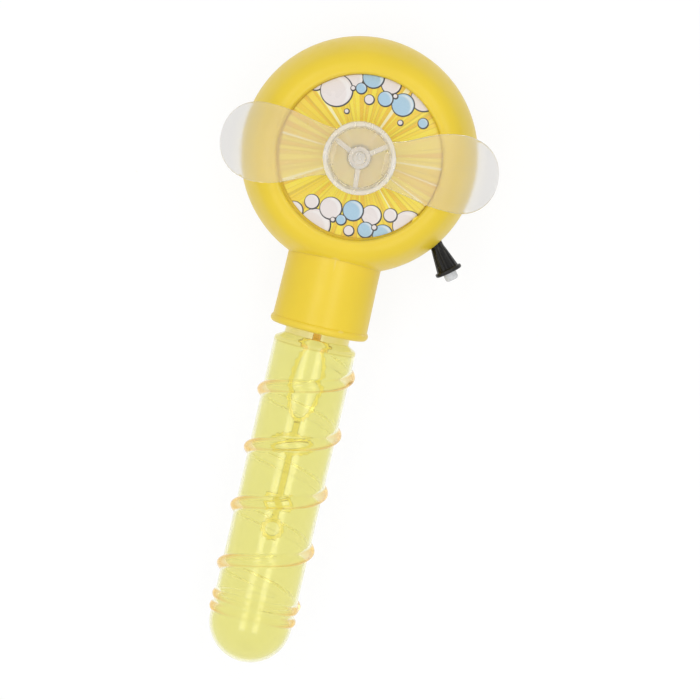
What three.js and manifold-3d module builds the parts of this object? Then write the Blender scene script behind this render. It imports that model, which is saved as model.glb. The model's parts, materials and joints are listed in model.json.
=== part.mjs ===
// Hand-held bubble machine: a round battery fan head with a screw-on bottle of bubble solution.
// Millimetres. It lies on its back: +Z is the front and the fan's axis, +Y the top of the head,
// and the bottle points to -Y. The origin is on the back face, under the fan's axis.

import * as THREE from "three";
import { mergeVertices } from "three/addons/utils/BufferGeometryUtils.js";
import Module from "manifold-3d";

const wasm = await Module();
wasm.setup();

// ---- Driving dimensions ----
const CLEAR = 0.3; // gap between pieces that touch or pass each other
const WALL = 2; // moulded shell wall

const SIDE_ARC_R = 34; // the head's side bulges on this arc
const EDGE_R = 8; // round between the side and the flat faces
const DISH_R = 31; // printed disc's recess
const DISH_DEPTH = 3.5;
const DISH_LIP = 0.8;
const LABEL_THICK = 0.4;
const LABEL_GAP = 0.2;

const DOOR_HALF_X = 25.5;
const DOOR_PAST_BAY = 0.9; // the door tucks this far under each end wall
const DOOR_CORNER = 9;

const CELL_R = 7.25; // AA cell
const CELL_LENGTH = 50.5;
const CELL_NUB_R = 2.75;
const CELL_NUB = 1;
const CELL_X = 15.8;
const CELL_SPRING_ROOM = 5.5; // both contacts and the spring, past one cell
const BAY_WALL = 1.6;
const BAY_WALL_HALF_X = 21;
const HEAD_PAST_BAY = 14.8; // from a bay end wall to the head's rim
const BAY_WALL_UNDER_SEAM = 3;
const PLATE_THICK = 0.4;
const TAB_PAST_WALL = 0.7; // the contact tabs stand above the bay walls

const MOTOR_R = 10.05; // round sides of the can
const MOTOR_FLAT = 7.55; // half width over its flats
const CAN_LENGTH = 20.5;
const CAP_LENGTH = 4.4;
const CAN_WALL = 0.8;
const NOSE_R = 4.2;
const NOSE_BORE_R = 3.5;
const NOSE_HEIGHT = 3.2;
const SHAFT_R = 1;
const SHAFT_ROOM = 0.3; // radial gap round the shaft
const ARMATURE_R = 6;
const POST_PAST_MOTOR = 1.95;
const POST_R = 3;
const CLAMP_THICK = 1.6;
const BEHIND_MOTOR = 11; // from the motor to the back face

const HUB_R = 13.65;
const HUB_WALL = 1.6;
const HUB_BACK = 1.5; // above the front face of the head
const HUB_DEPTH = 7;
const HUB_BOSS_R = 2.8;
const HUB_FLOOR = 0.8;
const HUB_FOOT_R = 4.3;
const HUB_FOOT = 2.4;
const SPOKE_WIDTH = 2;
const SPOKE_THICK = 1.3;
const SPOKE_TURN = 35; // degrees
const FAN_TURN = 0.6; // degrees, as the fan comes to rest
const BLADE_TIP_R = 52.2;
const BLADE_THICK = 1.4;
const BLADE_PITCH = 14; // degrees
const BLADE_ROOT_HALF = 8.9;
const BLADE_WIDE_HALF = 15;
const BLADE_SHIFT = 2; // the wide end leans to one side
const TANG_HALF = 3.2;
const TANG_HEAD_HALF = 4.5;

const COLLAR_R = 17.7;
const COLLAR_FOOT_R = 18;
const COLLAR_INSERT = 9.4; // inside the head's rim
const COLLAR_REACH = 23.5; // outside it
const BEAD_R = 1.7;
const BEAD_OUT = 18.7;
const SOCKET_DEPTH = 19.7;
const PLUG_R = 7;
const PLUG_LENGTH = 8.2;
const WING_HALF_X = 19.5;
const WING_HALF_Z = 8;
const WING_RISE = 1; // past the collar's top

const NECK_R = 12.3;
const NECK_WALL = 1.3;
const BOTTLE_R = 15.6;
const BOTTLE_WALL = 1;
const NECK_SHOWING = 3; // between the collar and the shoulder
const SHOULDER_DROP = 2.7;
const BOTTLE_STRAIGHT = 106.55; // from the shoulder to the round end
const GASKET_THICK = 1.5;
const GASKET_HOLE_R = 9.2;
const THREAD_PITCH = 4.2;
const THREAD_TURNS = 2;
const THREAD_OUT = 1.3; // height of the bottle's thread
const RIDGE_PITCH = 22.4;
const RIDGE_OUT = 1.9;
const RIDGE_SECTION_R = 2.4;
const RIDGE_FIRST_SIDE = 8.9; // below the shoulder, where the ridge first crosses the right side
const RING_RISES = [7.65, 2.95]; // the rings, above the round end
const RING_OUT = 1;
const RING_SECTION_R = 2.1;

const STEM_WIDTH = 2.4;
const WAND_THICK = 2.4;
const LOOP_BAR = 2;
const SERRATION = 0.5;
const LOOPS = [
  // distance of the centre below the socket's top, half width, half height, number of teeth
  { drop: 39.3, halfX: 6.8, halfY: 15.8, teeth: 26 },
  { drop: 63.3, halfX: 8.6, halfY: 4.4, teeth: 18 },
  { drop: 96.1, halfX: 4.6, halfY: 4.6, teeth: 11 },
];
const WINDOWS = { drop: 85.8, halfX: 5.3, halfY: 3, bar: 1.2 }; // a pair of square holes

const SWITCH_ROUND = -36.64; // degrees round the head from +X, where the guard's axis leaves it
const SWITCH_PROUD = 0.34; // of the head's rim
const SWITCH_TILT = 38.5; // degrees from -Y towards +X
const GUARD_BASE_R = 2.5;
const GUARD_MOUTH_R = 4.35;
const GUARD_LENGTH = 11.2;
const GUARD_RIM = 1.6;
const GUARD_RIM_OUT = 0.85;
const GUARD_WALL = 0.7;
const GUARD_FLOOR = 2.5;
const GUARD_FLANGE_R = 4.2;
const GUARD_FLANGE_TOP = -4.2;
const GUARD_FLANGE_THICK = 1.2;
const NUB_R = 2.5;
const NUB_OUT = 3;
const NUB_LENGTH = 7.2;
const ROD_R = 1.2;
const ROD_END = -7.2;
const BUTTON_TRAVEL = 1.8;
const BUTTON_WIRE_R = 0.25;
const LEAF_THICK = 0.4;
const LEAF_GAP = 0.6;
const LEAF_HALF = 4;
const LEAF_TAB_IN = 2.6; // the tab spans from here to the leaf's end
const LEAF_TAB_RISE = 0.6; // past the block
const BLOCK_HALF_Z = 3;
const BLOCK_DEPTH = 3;

const CASE_SCREW_INSET = 8; // from the head's rim to the case screws
const CASE_SCREW_ANGLES = [90, 5, 175];
const BOSS_R = 4.2;
const SCREW_SHANK_R = 1.2;
const SCREW_HEAD_R = 2.5;
const SCREW_HEAD = 1.6;
const CASE_HEAD_SEAT = 8;
const DOOR_BOSS_R = 3;
const DOOR_BOSS_TOP = 14;

const WIRE_R = 0.7;
const ROUND = 32; // facets round a large turned piece
const BOTTLE_ROUND = 24;
const SMALL_ROUND = 14;

// ---- Places worked out from the dimensions ----
const MOTOR_LENGTH = CAN_LENGTH + CLEAR + CAP_LENGTH;
const HEAD_THICK = BEHIND_MOTOR + MOTOR_LENGTH + CLEAR + WALL + DISH_DEPTH;
const POST_Y = MOTOR_R + POST_PAST_MOTOR + POST_R;
const MID_Z = HEAD_THICK / 2;
const BAY_WALL_TOP = MID_Z - BAY_WALL_UNDER_SEAM;
const PLATE_TAB_TOP = BAY_WALL_TOP + TAB_PAST_WALL;
const BAY_HALF = (CELL_LENGTH + CELL_SPRING_ROOM) / 2;
const HEAD_R = BAY_HALF + BAY_WALL + HEAD_PAST_BAY;
const DOOR_HALF_Y = BAY_HALF + DOOR_PAST_BAY;
const DOOR_BOSS_Y = BAY_HALF - DOOR_BOSS_R - 0.5;
const COLLAR_TOP_Y = COLLAR_INSERT - HEAD_R;
const COLLAR_FOOT_Y = -HEAD_R - COLLAR_REACH;
const SOCKET_TOP_Y = COLLAR_FOOT_Y + SOCKET_DEPTH;
const PLUG_TOP_Y = SOCKET_TOP_Y + PLUG_LENGTH;
const SHOULDER_Y = COLLAR_FOOT_Y - NECK_SHOWING;
const STRAIGHT_TOP_Y = SHOULDER_Y - SHOULDER_DROP;
const STRAIGHT_END_Y = STRAIGHT_TOP_Y - BOTTLE_STRAIGHT;
const THREAD_CREST_R = NECK_R + THREAD_OUT;
const SOCKET_R = THREAD_CREST_R + 2 * CLEAR;
const CASE_SCREW_R = HEAD_R - CASE_SCREW_INSET;
const SIDE_CENTRE_R = HEAD_R - SIDE_ARC_R;
const DISH_Z = HEAD_THICK - DISH_DEPTH;
const PLATE_BACK_Z = DISH_Z - WALL;
const CELL_Z = WALL + 0.5 + CELL_R;
const CAN_FRONT_Z = PLATE_BACK_Z - CLEAR;
const CAN_BACK_Z = CAN_FRONT_Z - CAN_LENGTH;
const CAP_BACK_Z = CAN_BACK_Z - CLEAR - CAP_LENGTH;
const NOSE_TOP_Z = CAN_FRONT_Z + NOSE_HEIGHT;
const CLAMP_TOP_Z = CAP_BACK_Z - CLEAR;
const CLAMP_BACK_Z = CLAMP_TOP_Z - CLAMP_THICK;
const HUB_BACK_Z = HEAD_THICK + HUB_BACK;
const HUB_FRONT_Z = HUB_BACK_Z + HUB_DEPTH;
const BLADE_Z = HUB_BACK_Z + HUB_DEPTH / 2;
const SHAFT_TOP_Z = HUB_FRONT_Z - 1.5;
const BOTTLE_TOP_Y = SOCKET_TOP_Y - CLEAR - GASKET_THICK - CLEAR;
const GUARD_FLANGE_BACK = GUARD_FLANGE_TOP - GUARD_FLANGE_THICK;
const NUB_BACK = GUARD_LENGTH + NUB_OUT - NUB_LENGTH;
const LEAF_TOP = ROD_END - BUTTON_TRAVEL - CLEAR;
const LEAF_2_TOP = LEAF_TOP - LEAF_THICK - LEAF_GAP;
const BLOCK_TOP = LEAF_2_TOP - LEAF_THICK - CLEAR;

const rad = THREE.MathUtils.degToRad;

// ---- Solids ----
function solid(geometry) {
  const g = geometry.clone();
  g.deleteAttribute("normal");
  g.deleteAttribute("uv");
  const merged = mergeVertices(g, 1e-4);
  return new wasm.Manifold(
    new wasm.Mesh({
      numProp: 3,
      vertProperties: new Float32Array(merged.attributes.position.array),
      triVerts: new Uint32Array(merged.index.array),
    }),
  );
}

function geometryOf(manifold) {
  const mesh = manifold.getMesh();
  const g = new THREE.BufferGeometry();
  g.setAttribute("position", new THREE.BufferAttribute(mesh.vertProperties, 3));
  g.setIndex(new THREE.BufferAttribute(mesh.triVerts, 1));
  g.computeVertexNormals();
  return g;
}

function box(x0, x1, y0, y1, z0, z1) {
  const g = new THREE.BoxGeometry(x1 - x0, y1 - y0, z1 - z0);
  g.translate((x0 + x1) / 2, (y0 + y1) / 2, (z0 + z1) / 2);
  return g;
}

// A profile of (radius, height) points turned about +Z.
function turned(points, facets = ROUND) {
  const g = new THREE.LatheGeometry(points.map(([r, h]) => new THREE.Vector2(r, h)), facets);
  g.rotateX(Math.PI / 2);
  return g;
}

function ring(inner, outer, z0, z1, facets = SMALL_ROUND) {
  const points = [[inner, z0], [outer, z0], [outer, z1], [inner, z1], [inner, z0]];
  return turned(points, facets);
}

function rod(radius, z0, z1, facets = SMALL_ROUND) {
  return turned([[0, z0], [radius, z0], [radius, z1], [0, z1]], facets);
}

// A piece turned about +Z is stood on the bottle's axis: its height becomes y.
function onBottleAxis(geometry) {
  geometry.rotateX(-Math.PI / 2);
  geometry.translate(0, 0, MID_Z);
  return geometry;
}

// A piece turned about +Z is stood on the switch's axis: its height points out of the head,
// its x runs across the axis in the head's plane and its y becomes the head's depth.
const SWITCH_OUT = new THREE.Vector3(Math.sin(rad(SWITCH_TILT)), -Math.cos(rad(SWITCH_TILT)), 0);
const SWITCH_ACROSS = new THREE.Vector3(-SWITCH_OUT.y, SWITCH_OUT.x, 0);
const SWITCH_FRAME = new THREE.Matrix4()
  .makeBasis(SWITCH_ACROSS, new THREE.Vector3(0, 0, 1), SWITCH_OUT)
  .setPosition(
    (HEAD_R + SWITCH_PROUD) * Math.cos(rad(SWITCH_ROUND)),
    (HEAD_R + SWITCH_PROUD) * Math.sin(rad(SWITCH_ROUND)),
    MID_Z,
  );

function onSwitchAxis(geometry) {
  geometry.applyMatrix4(SWITCH_FRAME);
  return geometry;
}

function switchPoint(out, across, depth) {
  return new THREE.Vector3(across, depth, out).applyMatrix4(SWITCH_FRAME);
}

// Points of an arc in the (radius, height) plane, angles in degrees.
function arc(centreR, centreH, radius, from, to, steps) {
  const points = [];
  for (let i = 0; i <= steps; i += 1) {
    const a = rad(from + ((to - from) * i) / steps);
    points.push([centreR + radius * Math.cos(a), centreH + radius * Math.sin(a)]);
  }
  return points;
}

function helix(radius, startAngle, startY, turns, pitch) {
  class Helix extends THREE.Curve {
    getPoint(t, target = new THREE.Vector3()) {
      const a = startAngle + t * turns * 2 * Math.PI;
      return target.set(radius * Math.cos(a), startY - t * turns * pitch, radius * Math.sin(a));
    }
  }
  return new Helix();
}

function sweep(curve, radius, sides, steps) {
  const section = new THREE.Shape();
  for (let i = 0; i < sides; i += 1) {
    const a = (i * 2 * Math.PI) / sides;
    section[i ? "lineTo" : "moveTo"](radius * Math.cos(a), radius * Math.sin(a));
  }
  return new THREE.ExtrudeGeometry(section, { extrudePath: curve, steps });
}

// ---- The head's outer form ----
// One half's section from the flat face's edge out to the middle, inset by a wall thickness.
// Heights are measured from the middle plane towards the face.
function halfSection(inset) {
  const sideR = SIDE_ARC_R - inset;
  const edgeR = EDGE_R - inset;
  const edgeH = MID_Z - EDGE_R;
  const reach = SIDE_ARC_R - EDGE_R;
  const edgeC = SIDE_CENTRE_R + Math.sqrt(reach * reach - edgeH * edgeH);
  const meet = THREE.MathUtils.radToDeg(Math.asin(edgeH / reach));
  const seam = THREE.MathUtils.radToDeg(Math.asin(CLEAR / 2 / sideR));
  return [
    ...arc(edgeC, edgeH, edgeR, 90, meet, 4),
    ...arc(SIDE_CENTRE_R, 0, sideR, meet, seam, 2).slice(1),
  ];
}

const frontHalf = (inset) => halfSection(inset).map(([r, h]) => [r, MID_Z + h]);
const rearHalf = (inset) => halfSection(inset).map(([r, h]) => [r, MID_Z - h]);

function envelope(half, face) {
  const outline = half(WALL / 2);
  const seamZ = outline[outline.length - 1][1];
  const points = [[0, face], ...outline, [0, seamZ]];
  return solid(turned(face > seamZ ? points.reverse() : points));
}

// Both shells are cut by the collar and by the switch guard.
function cutOpenings(shell) {
  const collarHole = onBottleAxis(rod(COLLAR_R + CLEAR, -HEAD_R - 5, COLLAR_TOP_Y + 1, ROUND));
  const guardHole = onSwitchAxis(rod(GUARD_BASE_R + 2 * CLEAR, -8, 5));
  return shell.subtract(solid(collarHole)).subtract(solid(guardHole));
}

const caseScrewPlaces = CASE_SCREW_ANGLES.map((degrees) => {
  const a = rad(degrees);
  return new THREE.Vector2(CASE_SCREW_R * Math.cos(a), CASE_SCREW_R * Math.sin(a));
});

function frontShell() {
  const outer = frontHalf(0);
  const inner = frontHalf(WALL);
  const lip = arc(DISH_R + DISH_LIP, HEAD_THICK - DISH_LIP, DISH_LIP, 180, 90, 3);
  const plateHole = NOSE_R + CLEAR + 0.1;
  const profile = [
    [plateHole, PLATE_BACK_Z],
    [DISH_R + WALL, PLATE_BACK_Z],
    [DISH_R + WALL, HEAD_THICK - WALL - 0.4],
    ...inner.slice(1),
    ...outer.slice().reverse(),
    ...lip.reverse(),
    [DISH_R, DISH_Z],
    [plateHole, DISH_Z],
    [plateHole, PLATE_BACK_Z],
  ];
  let shell = solid(turned(profile));
  const inside = envelope(frontHalf, HEAD_THICK - WALL / 2);
  const floor = MID_Z + CLEAR / 2;
  for (const { x, y } of caseScrewPlaces) {
    const boss = rod(BOSS_R - 1, floor, HEAD_THICK).translate(x, y, 0);
    shell = shell.add(solid(boss).intersect(inside));
  }
  for (const side of [-1, 1]) {
    const post = rod(POST_R, CLAMP_TOP_Z + CLEAR, PLATE_BACK_Z + 1).translate(0, side * POST_Y, 0);
    shell = shell.add(solid(post));
  }
  const hanger = switchPoint((BLOCK_TOP * 2 - BLOCK_DEPTH) / 2, 0, 0);
  const hangerFoot = MID_Z + BLOCK_HALF_Z + CLEAR;
  const hangerPost = rod(2.5, hangerFoot, HEAD_THICK - WALL / 2).translate(hanger.x, hanger.y, 0);
  shell = shell.add(solid(hangerPost).intersect(inside));
  // The hanger must not fill the dish in front of the plate.
  shell = shell.subtract(solid(rod(DISH_R, DISH_Z, HEAD_THICK + 1, ROUND)));
  const pilot = SCREW_SHANK_R + CLEAR;
  for (const { x, y } of caseScrewPlaces) {
    shell = shell.subtract(solid(rod(pilot, floor - 1, MID_Z + 11, 12).translate(x, y, 0)));
  }
  for (const side of [-1, 1]) {
    const hole = rod(pilot, CLAMP_TOP_Z, CLAMP_TOP_Z + 9, 12).translate(0, side * POST_Y, 0);
    shell = shell.subtract(solid(hole));
  }
  return geometryOf(cutOpenings(shell));
}

// The battery door's outline, grown by a margin, as a prism through the back wall.
function doorPrism(margin) {
  const x = DOOR_HALF_X + margin;
  const y = DOOR_HALF_Y + margin;
  const c = DOOR_CORNER + margin;
  const outline = new THREE.Shape();
  outline.moveTo(x, y - c);
  outline.absarc(x - c, y - c, c, 0, Math.PI / 2);
  outline.absarc(c - x, y - c, c, Math.PI / 2, Math.PI);
  outline.absarc(c - x, c - y, c, Math.PI, 1.5 * Math.PI);
  outline.absarc(x - c, c - y, c, 1.5 * Math.PI, 2 * Math.PI);
  const depth = 1 + WALL + CLEAR;
  const g = new THREE.ExtrudeGeometry(outline, { depth, bevelEnabled: false, curveSegments: 5 });
  g.translate(0, 0, -1);
  return solid(g);
}

function rearBlank() {
  const inner = rearHalf(WALL);
  return solid(turned([[0, 0], ...rearHalf(0), ...inner.reverse(), [0, WALL]]));
}

function rearShell() {
  let shell = rearBlank();
  const inside = envelope(rearHalf, WALL / 2);
  const seam = MID_Z - CLEAR / 2;
  for (const { x, y } of caseScrewPlaces) {
    shell = shell.add(solid(rod(BOSS_R, 0, seam).translate(x, y, 0)).intersect(inside));
  }
  const half = BAY_WALL_HALF_X;
  for (const side of [-1, 1]) {
    const ys = [side * BAY_HALF, side * (BAY_HALF + BAY_WALL)].sort((a, b) => a - b);
    shell = shell.add(solid(box(-half, half, ys[0], ys[1], WALL / 2, BAY_WALL_TOP)).intersect(inside));
    const floor = WALL + CLEAR;
    const boss = rod(DOOR_BOSS_R, floor, DOOR_BOSS_TOP).translate(0, side * DOOR_BOSS_Y, 0);
    const web = [side * DOOR_BOSS_Y, side * (BAY_HALF + 0.5)].sort((a, b) => a - b);
    shell = shell.add(solid(boss)).add(solid(box(-1.5, 1.5, web[0], web[1], floor, DOOR_BOSS_TOP)));
  }
  shell = shell.subtract(doorPrism(0));
  for (const { x, y } of caseScrewPlaces) {
    const shank = rod(SCREW_SHANK_R + CLEAR, 0, HEAD_THICK / 2 + 1, 12).translate(x, y, 0);
    const sink = rod(SCREW_HEAD_R + CLEAR, -1, CASE_HEAD_SEAT).translate(x, y, 0);
    shell = shell.subtract(solid(shank)).subtract(solid(sink));
  }
  for (const side of [-1, 1]) {
    const hole = rod(SCREW_SHANK_R + CLEAR, 1, DOOR_BOSS_TOP - 2, 12);
    shell = shell.subtract(solid(hole.translate(0, side * DOOR_BOSS_Y, 0)));
  }
  return geometryOf(cutOpenings(shell));
}

function batteryDoor() {
  let door = rearBlank().intersect(doorPrism(-CLEAR));
  for (const side of [-1, 1]) {
    const hole = rod(SCREW_SHANK_R + CLEAR, -1, WALL + 1, 12);
    const sink = rod(SCREW_HEAD_R + CLEAR, -1, 0.9, 16);
    door = door.subtract(solid(hole.translate(0, side * DOOR_BOSS_Y, 0)));
    door = door.subtract(solid(sink.translate(0, side * DOOR_BOSS_Y, 0)));
  }
  return geometryOf(door);
}

// A pan-head screw with its head's seat at z = 0, the shank towards +Z.
function screw(length, head = SCREW_HEAD) {
  const shank = SCREW_SHANK_R;
  const points = [
    [0, -head],
    [SCREW_HEAD_R * 0.7, -head],
    [SCREW_HEAD_R, -head * 0.5],
    [SCREW_HEAD_R, -0.15],
    [shank, -0.15],
    [shank, length - 1],
    [shank * 0.3, length],
    [0, length],
  ];
  return turned(points, 10);
}

// ---- Front disc ----
function frontLabel() {
  const z = DISH_Z + LABEL_GAP;
  return ring(NOSE_R + 2 * CLEAR, DISH_R - CLEAR, z, z + LABEL_THICK, ROUND);
}

// ---- Collar, wand and bottle ----
function thread(radius, sectionR, topY) {
  const curve = helix(radius, 0, topY, THREAD_TURNS, THREAD_PITCH);
  return solid(sweep(curve, sectionR, 5, THREAD_TURNS * 12).translate(0, 0, MID_Z));
}

function neckCollar() {
  const beadY = COLLAR_FOOT_Y + BEAD_R;
  const profile = [
    [0, PLUG_TOP_Y],
    [PLUG_R + CLEAR, PLUG_TOP_Y],
    [PLUG_R + CLEAR, SOCKET_TOP_Y],
    [SOCKET_R, SOCKET_TOP_Y],
    [SOCKET_R, COLLAR_FOOT_Y],
    ...arc(BEAD_OUT - BEAD_R, beadY, BEAD_R, -90, 75, 6),
    [COLLAR_FOOT_R, beadY + BEAD_R + 0.6],
    [COLLAR_R, -HEAD_R],
    [COLLAR_R, COLLAR_TOP_Y],
    [0, COLLAR_TOP_Y],
  ];
  let collar = solid(onBottleAxis(turned(profile)));
  const innerR = SIDE_CENTRE_R + Math.sqrt((SIDE_ARC_R - WALL) ** 2 - WING_HALF_Z ** 2);
  const wingFoot = -Math.sqrt(innerR ** 2 - WING_HALF_X ** 2) + 2 * CLEAR;
  const wingLow = MID_Z - WING_HALF_Z;
  const wingHigh = MID_Z + WING_HALF_Z;
  const wingTop = COLLAR_TOP_Y + WING_RISE;
  const wing = box(-WING_HALF_X, WING_HALF_X, wingFoot, wingTop, wingLow, wingHigh);
  collar = collar.add(solid(wing));
  const crest = THREAD_CREST_R + CLEAR;
  collar = collar.add(thread(crest + 0.7, 0.7, BOTTLE_TOP_Y - THREAD_PITCH));
  return geometryOf(collar);
}

function bottleGasket() {
  const top = SOCKET_TOP_Y - CLEAR;
  return onBottleAxis(ring(GASKET_HOLE_R, SOCKET_R - CLEAR, top - GASKET_THICK, top, ROUND));
}

function ellipseOutline(halfX, halfY, centreY, teeth, tooth) {
  const steps = teeth * 2;
  const points = [];
  for (let i = 0; i < steps; i += 1) {
    const a = (i * 2 * Math.PI) / steps;
    const out = i % 2 ? 0 : tooth;
    const x = (halfX - out) * Math.cos(a);
    points.push(new THREE.Vector2(x, centreY + (halfY - out) * Math.sin(a)));
  }
  return points;
}

function bubbleWand() {
  const back = MID_Z - WAND_THICK / 2;
  const front = MID_Z + WAND_THICK / 2;
  const last = LOOPS[LOOPS.length - 1];
  const stemEnd = SOCKET_TOP_Y - last.drop + last.halfY - LOOP_BAR / 2;
  const half = STEM_WIDTH / 2;
  let wand = solid(onBottleAxis(rod(PLUG_R, SOCKET_TOP_Y - CLEAR, PLUG_TOP_Y - CLEAR, 24)));
  wand = wand.add(solid(box(-half, half, stemEnd, SOCKET_TOP_Y, back, front)));
  for (const loop of LOOPS) {
    const y = SOCKET_TOP_Y - loop.drop;
    const inX = loop.halfX - LOOP_BAR;
    const inY = loop.halfY - LOOP_BAR;
    const extrude = { depth: WAND_THICK, bevelEnabled: false };
    const rim = new THREE.Shape(
      ellipseOutline(loop.halfX, loop.halfY, y, loop.teeth, SERRATION),
    );
    const hole = new THREE.Shape(ellipseOutline(inX, inY, y, 16, 0));
    const disc = solid(new THREE.ExtrudeGeometry(rim, extrude).translate(0, 0, back));
    const deep = { depth: WAND_THICK + 2, bevelEnabled: false };
    const bore = solid(new THREE.ExtrudeGeometry(hole, deep).translate(0, 0, back - 1));
    wand = wand.add(disc).subtract(bore);
  }
  const { drop, halfX, halfY, bar } = WINDOWS;
  const y = SOCKET_TOP_Y - drop;
  wand = wand.add(solid(box(-halfX, halfX, y - halfY, y + halfY, back, front)));
  for (const side of [-1, 1]) {
    const middle = (side * (half + halfX - bar)) / 2;
    const wide = (halfX - bar - half) / 2;
    const window = box(
      middle - wide,
      middle + wide,
      y - halfY + bar,
      y + halfY - bar,
      back - 1,
      front + 1,
    );
    wand = wand.subtract(solid(window));
  }
  return geometryOf(wand);
}

function bottle() {
  const straightY = STRAIGHT_TOP_Y;
  const endY = STRAIGHT_END_Y;
  const shoulder = BOTTLE_R - NECK_R;
  const outerProfile = [
    [0, BOTTLE_TOP_Y],
    [NECK_R, BOTTLE_TOP_Y],
    [NECK_R, SHOULDER_Y],
    ...arc(BOTTLE_R - shoulder, straightY, 1, 90, 0, 4).map(([r, h]) => [
      BOTTLE_R - shoulder + (r - BOTTLE_R + shoulder) * shoulder,
      straightY + (h - straightY) * SHOULDER_DROP,
    ]),
    ...arc(0, endY, BOTTLE_R, 0, -90, 7),
  ].reverse();
  const innerR = BOTTLE_R - BOTTLE_WALL;
  const mouthR = NECK_R - NECK_WALL;
  const innerProfile = [
    [0, BOTTLE_TOP_Y + 1],
    [mouthR, BOTTLE_TOP_Y + 1],
    [mouthR, SHOULDER_Y - BOTTLE_WALL],
    [innerR, straightY - BOTTLE_WALL],
    ...arc(0, endY, innerR, 0, -90, 6),
  ].reverse();
  let body = solid(onBottleAxis(turned(outerProfile, BOTTLE_ROUND)));
  const sectionC = BOTTLE_R + RIDGE_OUT - RIDGE_SECTION_R;
  const startY = straightY - RIDGE_SECTION_R - 1;
  const sideY = straightY - RIDGE_FIRST_SIDE;
  const startAngle = ((sideY - startY) / RIDGE_PITCH) * 2 * Math.PI;
  const turns = (startY - endY - RING_RISES[0]) / RIDGE_PITCH;
  const steps = Math.round(turns * 14);
  const curve = helix(sectionC, startAngle, startY, turns, RIDGE_PITCH);
  body = body.add(solid(sweep(curve, RIDGE_SECTION_R, 6, steps).translate(0, 0, MID_Z)));
  for (const rise of RING_RISES) {
    const centreR = BOTTLE_R + RING_OUT - RING_SECTION_R;
    const torus = new THREE.TorusGeometry(centreR, RING_SECTION_R, 6, BOTTLE_ROUND);
    body = body.add(solid(torus.rotateX(Math.PI / 2).translate(0, endY + rise, MID_Z)));
  }
  body = body.add(thread(NECK_R, THREAD_OUT, BOTTLE_TOP_Y - THREAD_PITCH * 0.6));
  return geometryOf(body.subtract(solid(onBottleAxis(turned(innerProfile, BOTTLE_ROUND)))));
}

// ---- Motor ----
// The can's outline is a circle with two flats, inset by a wall.
function canPrism(inset, z0, z1) {
  const r = MOTOR_R - inset;
  const flat = Math.acos((MOTOR_FLAT - inset) / r);
  const outline = new THREE.Shape();
  outline.absarc(0, 0, r, flat, Math.PI - flat);
  outline.absarc(0, 0, r, Math.PI + flat, 2 * Math.PI - flat);
  const options = { depth: z1 - z0, bevelEnabled: false, curveSegments: 12 };
  return solid(new THREE.ExtrudeGeometry(outline, options).translate(0, 0, z0));
}

function motorCan() {
  const hollow = canPrism(CAN_WALL, CAN_BACK_Z - 1, CAN_FRONT_Z - CAN_WALL);
  let can = canPrism(0, CAN_BACK_Z, CAN_FRONT_Z).subtract(hollow);
  can = can.add(solid(rod(NOSE_R, CAN_FRONT_Z - CAN_WALL / 2, NOSE_TOP_Z, 24)));
  return geometryOf(can.subtract(solid(rod(NOSE_BORE_R, CAN_BACK_Z, NOSE_TOP_Z + 1, 24))));
}

function motorEndCap() {
  const cap = canPrism(0, CAP_BACK_Z, CAP_BACK_Z + CAP_LENGTH);
  const bore = rod(SHAFT_R + SHAFT_ROOM, CAP_BACK_Z + 1, CAN_BACK_Z + 1, 12);
  return geometryOf(cap.subtract(solid(bore)));
}

function motorMagnet(side) {
  const gap = CLEAR;
  const z0 = CAN_BACK_Z + 2;
  const z1 = CAN_FRONT_Z - CAN_WALL - 1.5;
  const outer = canPrism(CAN_WALL + gap, z0, z1);
  const bore = solid(rod(ARMATURE_R + 0.4, z0 - 1, z1 + 1, 32));
  const keep = box(-5.5, 5.5, side > 0 ? 2 : -MOTOR_R, side > 0 ? MOTOR_R : -2, z0 - 1, z1 + 1);
  return geometryOf(outer.subtract(bore).intersect(solid(keep)));
}

function motorArmature() {
  const bore = SHAFT_R + 0.2;
  const z0 = CAN_BACK_Z + 3;
  const z1 = CAN_FRONT_Z - CAN_WALL - 2.5;
  const points = [
    [bore, z0 - 2.7],
    [2.4, z0 - 2.7],
    [2.4, z0],
    [ARMATURE_R, z0],
    [ARMATURE_R, z1],
    [bore, z1],
    [bore, z0 - 2.7],
  ];
  let armature = solid(turned(points, 24));
  for (let i = 0; i < 3; i += 1) {
    const slot = box(ARMATURE_R - 2.6, ARMATURE_R + 1, -0.6, 0.6, z0 - 0.5, z1 + 1);
    armature = armature.subtract(solid(slot.rotateZ(i * rad(120))));
  }
  return geometryOf(armature);
}

function motorBrush(side) {
  const x0 = side * (2.4 + CLEAR);
  const x1 = side * 4.2;
  const z0 = CAP_BACK_Z + CAP_LENGTH + CLEAR;
  return box(Math.min(x0, x1), Math.max(x0, x1), -1, 1, z0, z0 + 2.2);
}

const TERMINAL_X = 3.6;
const TERMINAL_LENGTH = 3.6;

function motorTerminal(side) {
  const x = side * TERMINAL_X;
  const top = CAP_BACK_Z - CLEAR;
  return box(x - 0.3, x + 0.3, -1, 1, top - TERMINAL_LENGTH, top);
}

function motorClamp() {
  const strap = box(-4, 4, -POST_Y - 3, POST_Y + 3, CLAMP_BACK_Z, CLAMP_TOP_Z);
  const pad = box(-7.9, 7.9, -8, 8, CLAMP_BACK_Z, CLAMP_TOP_Z);
  let clamp = solid(strap).add(solid(pad));
  clamp = clamp.subtract(solid(rod(5.3, CLAMP_BACK_Z - 1, CLAMP_TOP_Z + 1, 24)));
  for (const side of [-1, 1]) {
    const hole = rod(SCREW_SHANK_R + CLEAR, CLAMP_BACK_Z - 1, CLAMP_TOP_Z + 1, 12);
    clamp = clamp.subtract(solid(hole.translate(0, side * POST_Y, 0)));
  }
  return geometryOf(clamp);
}

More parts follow.
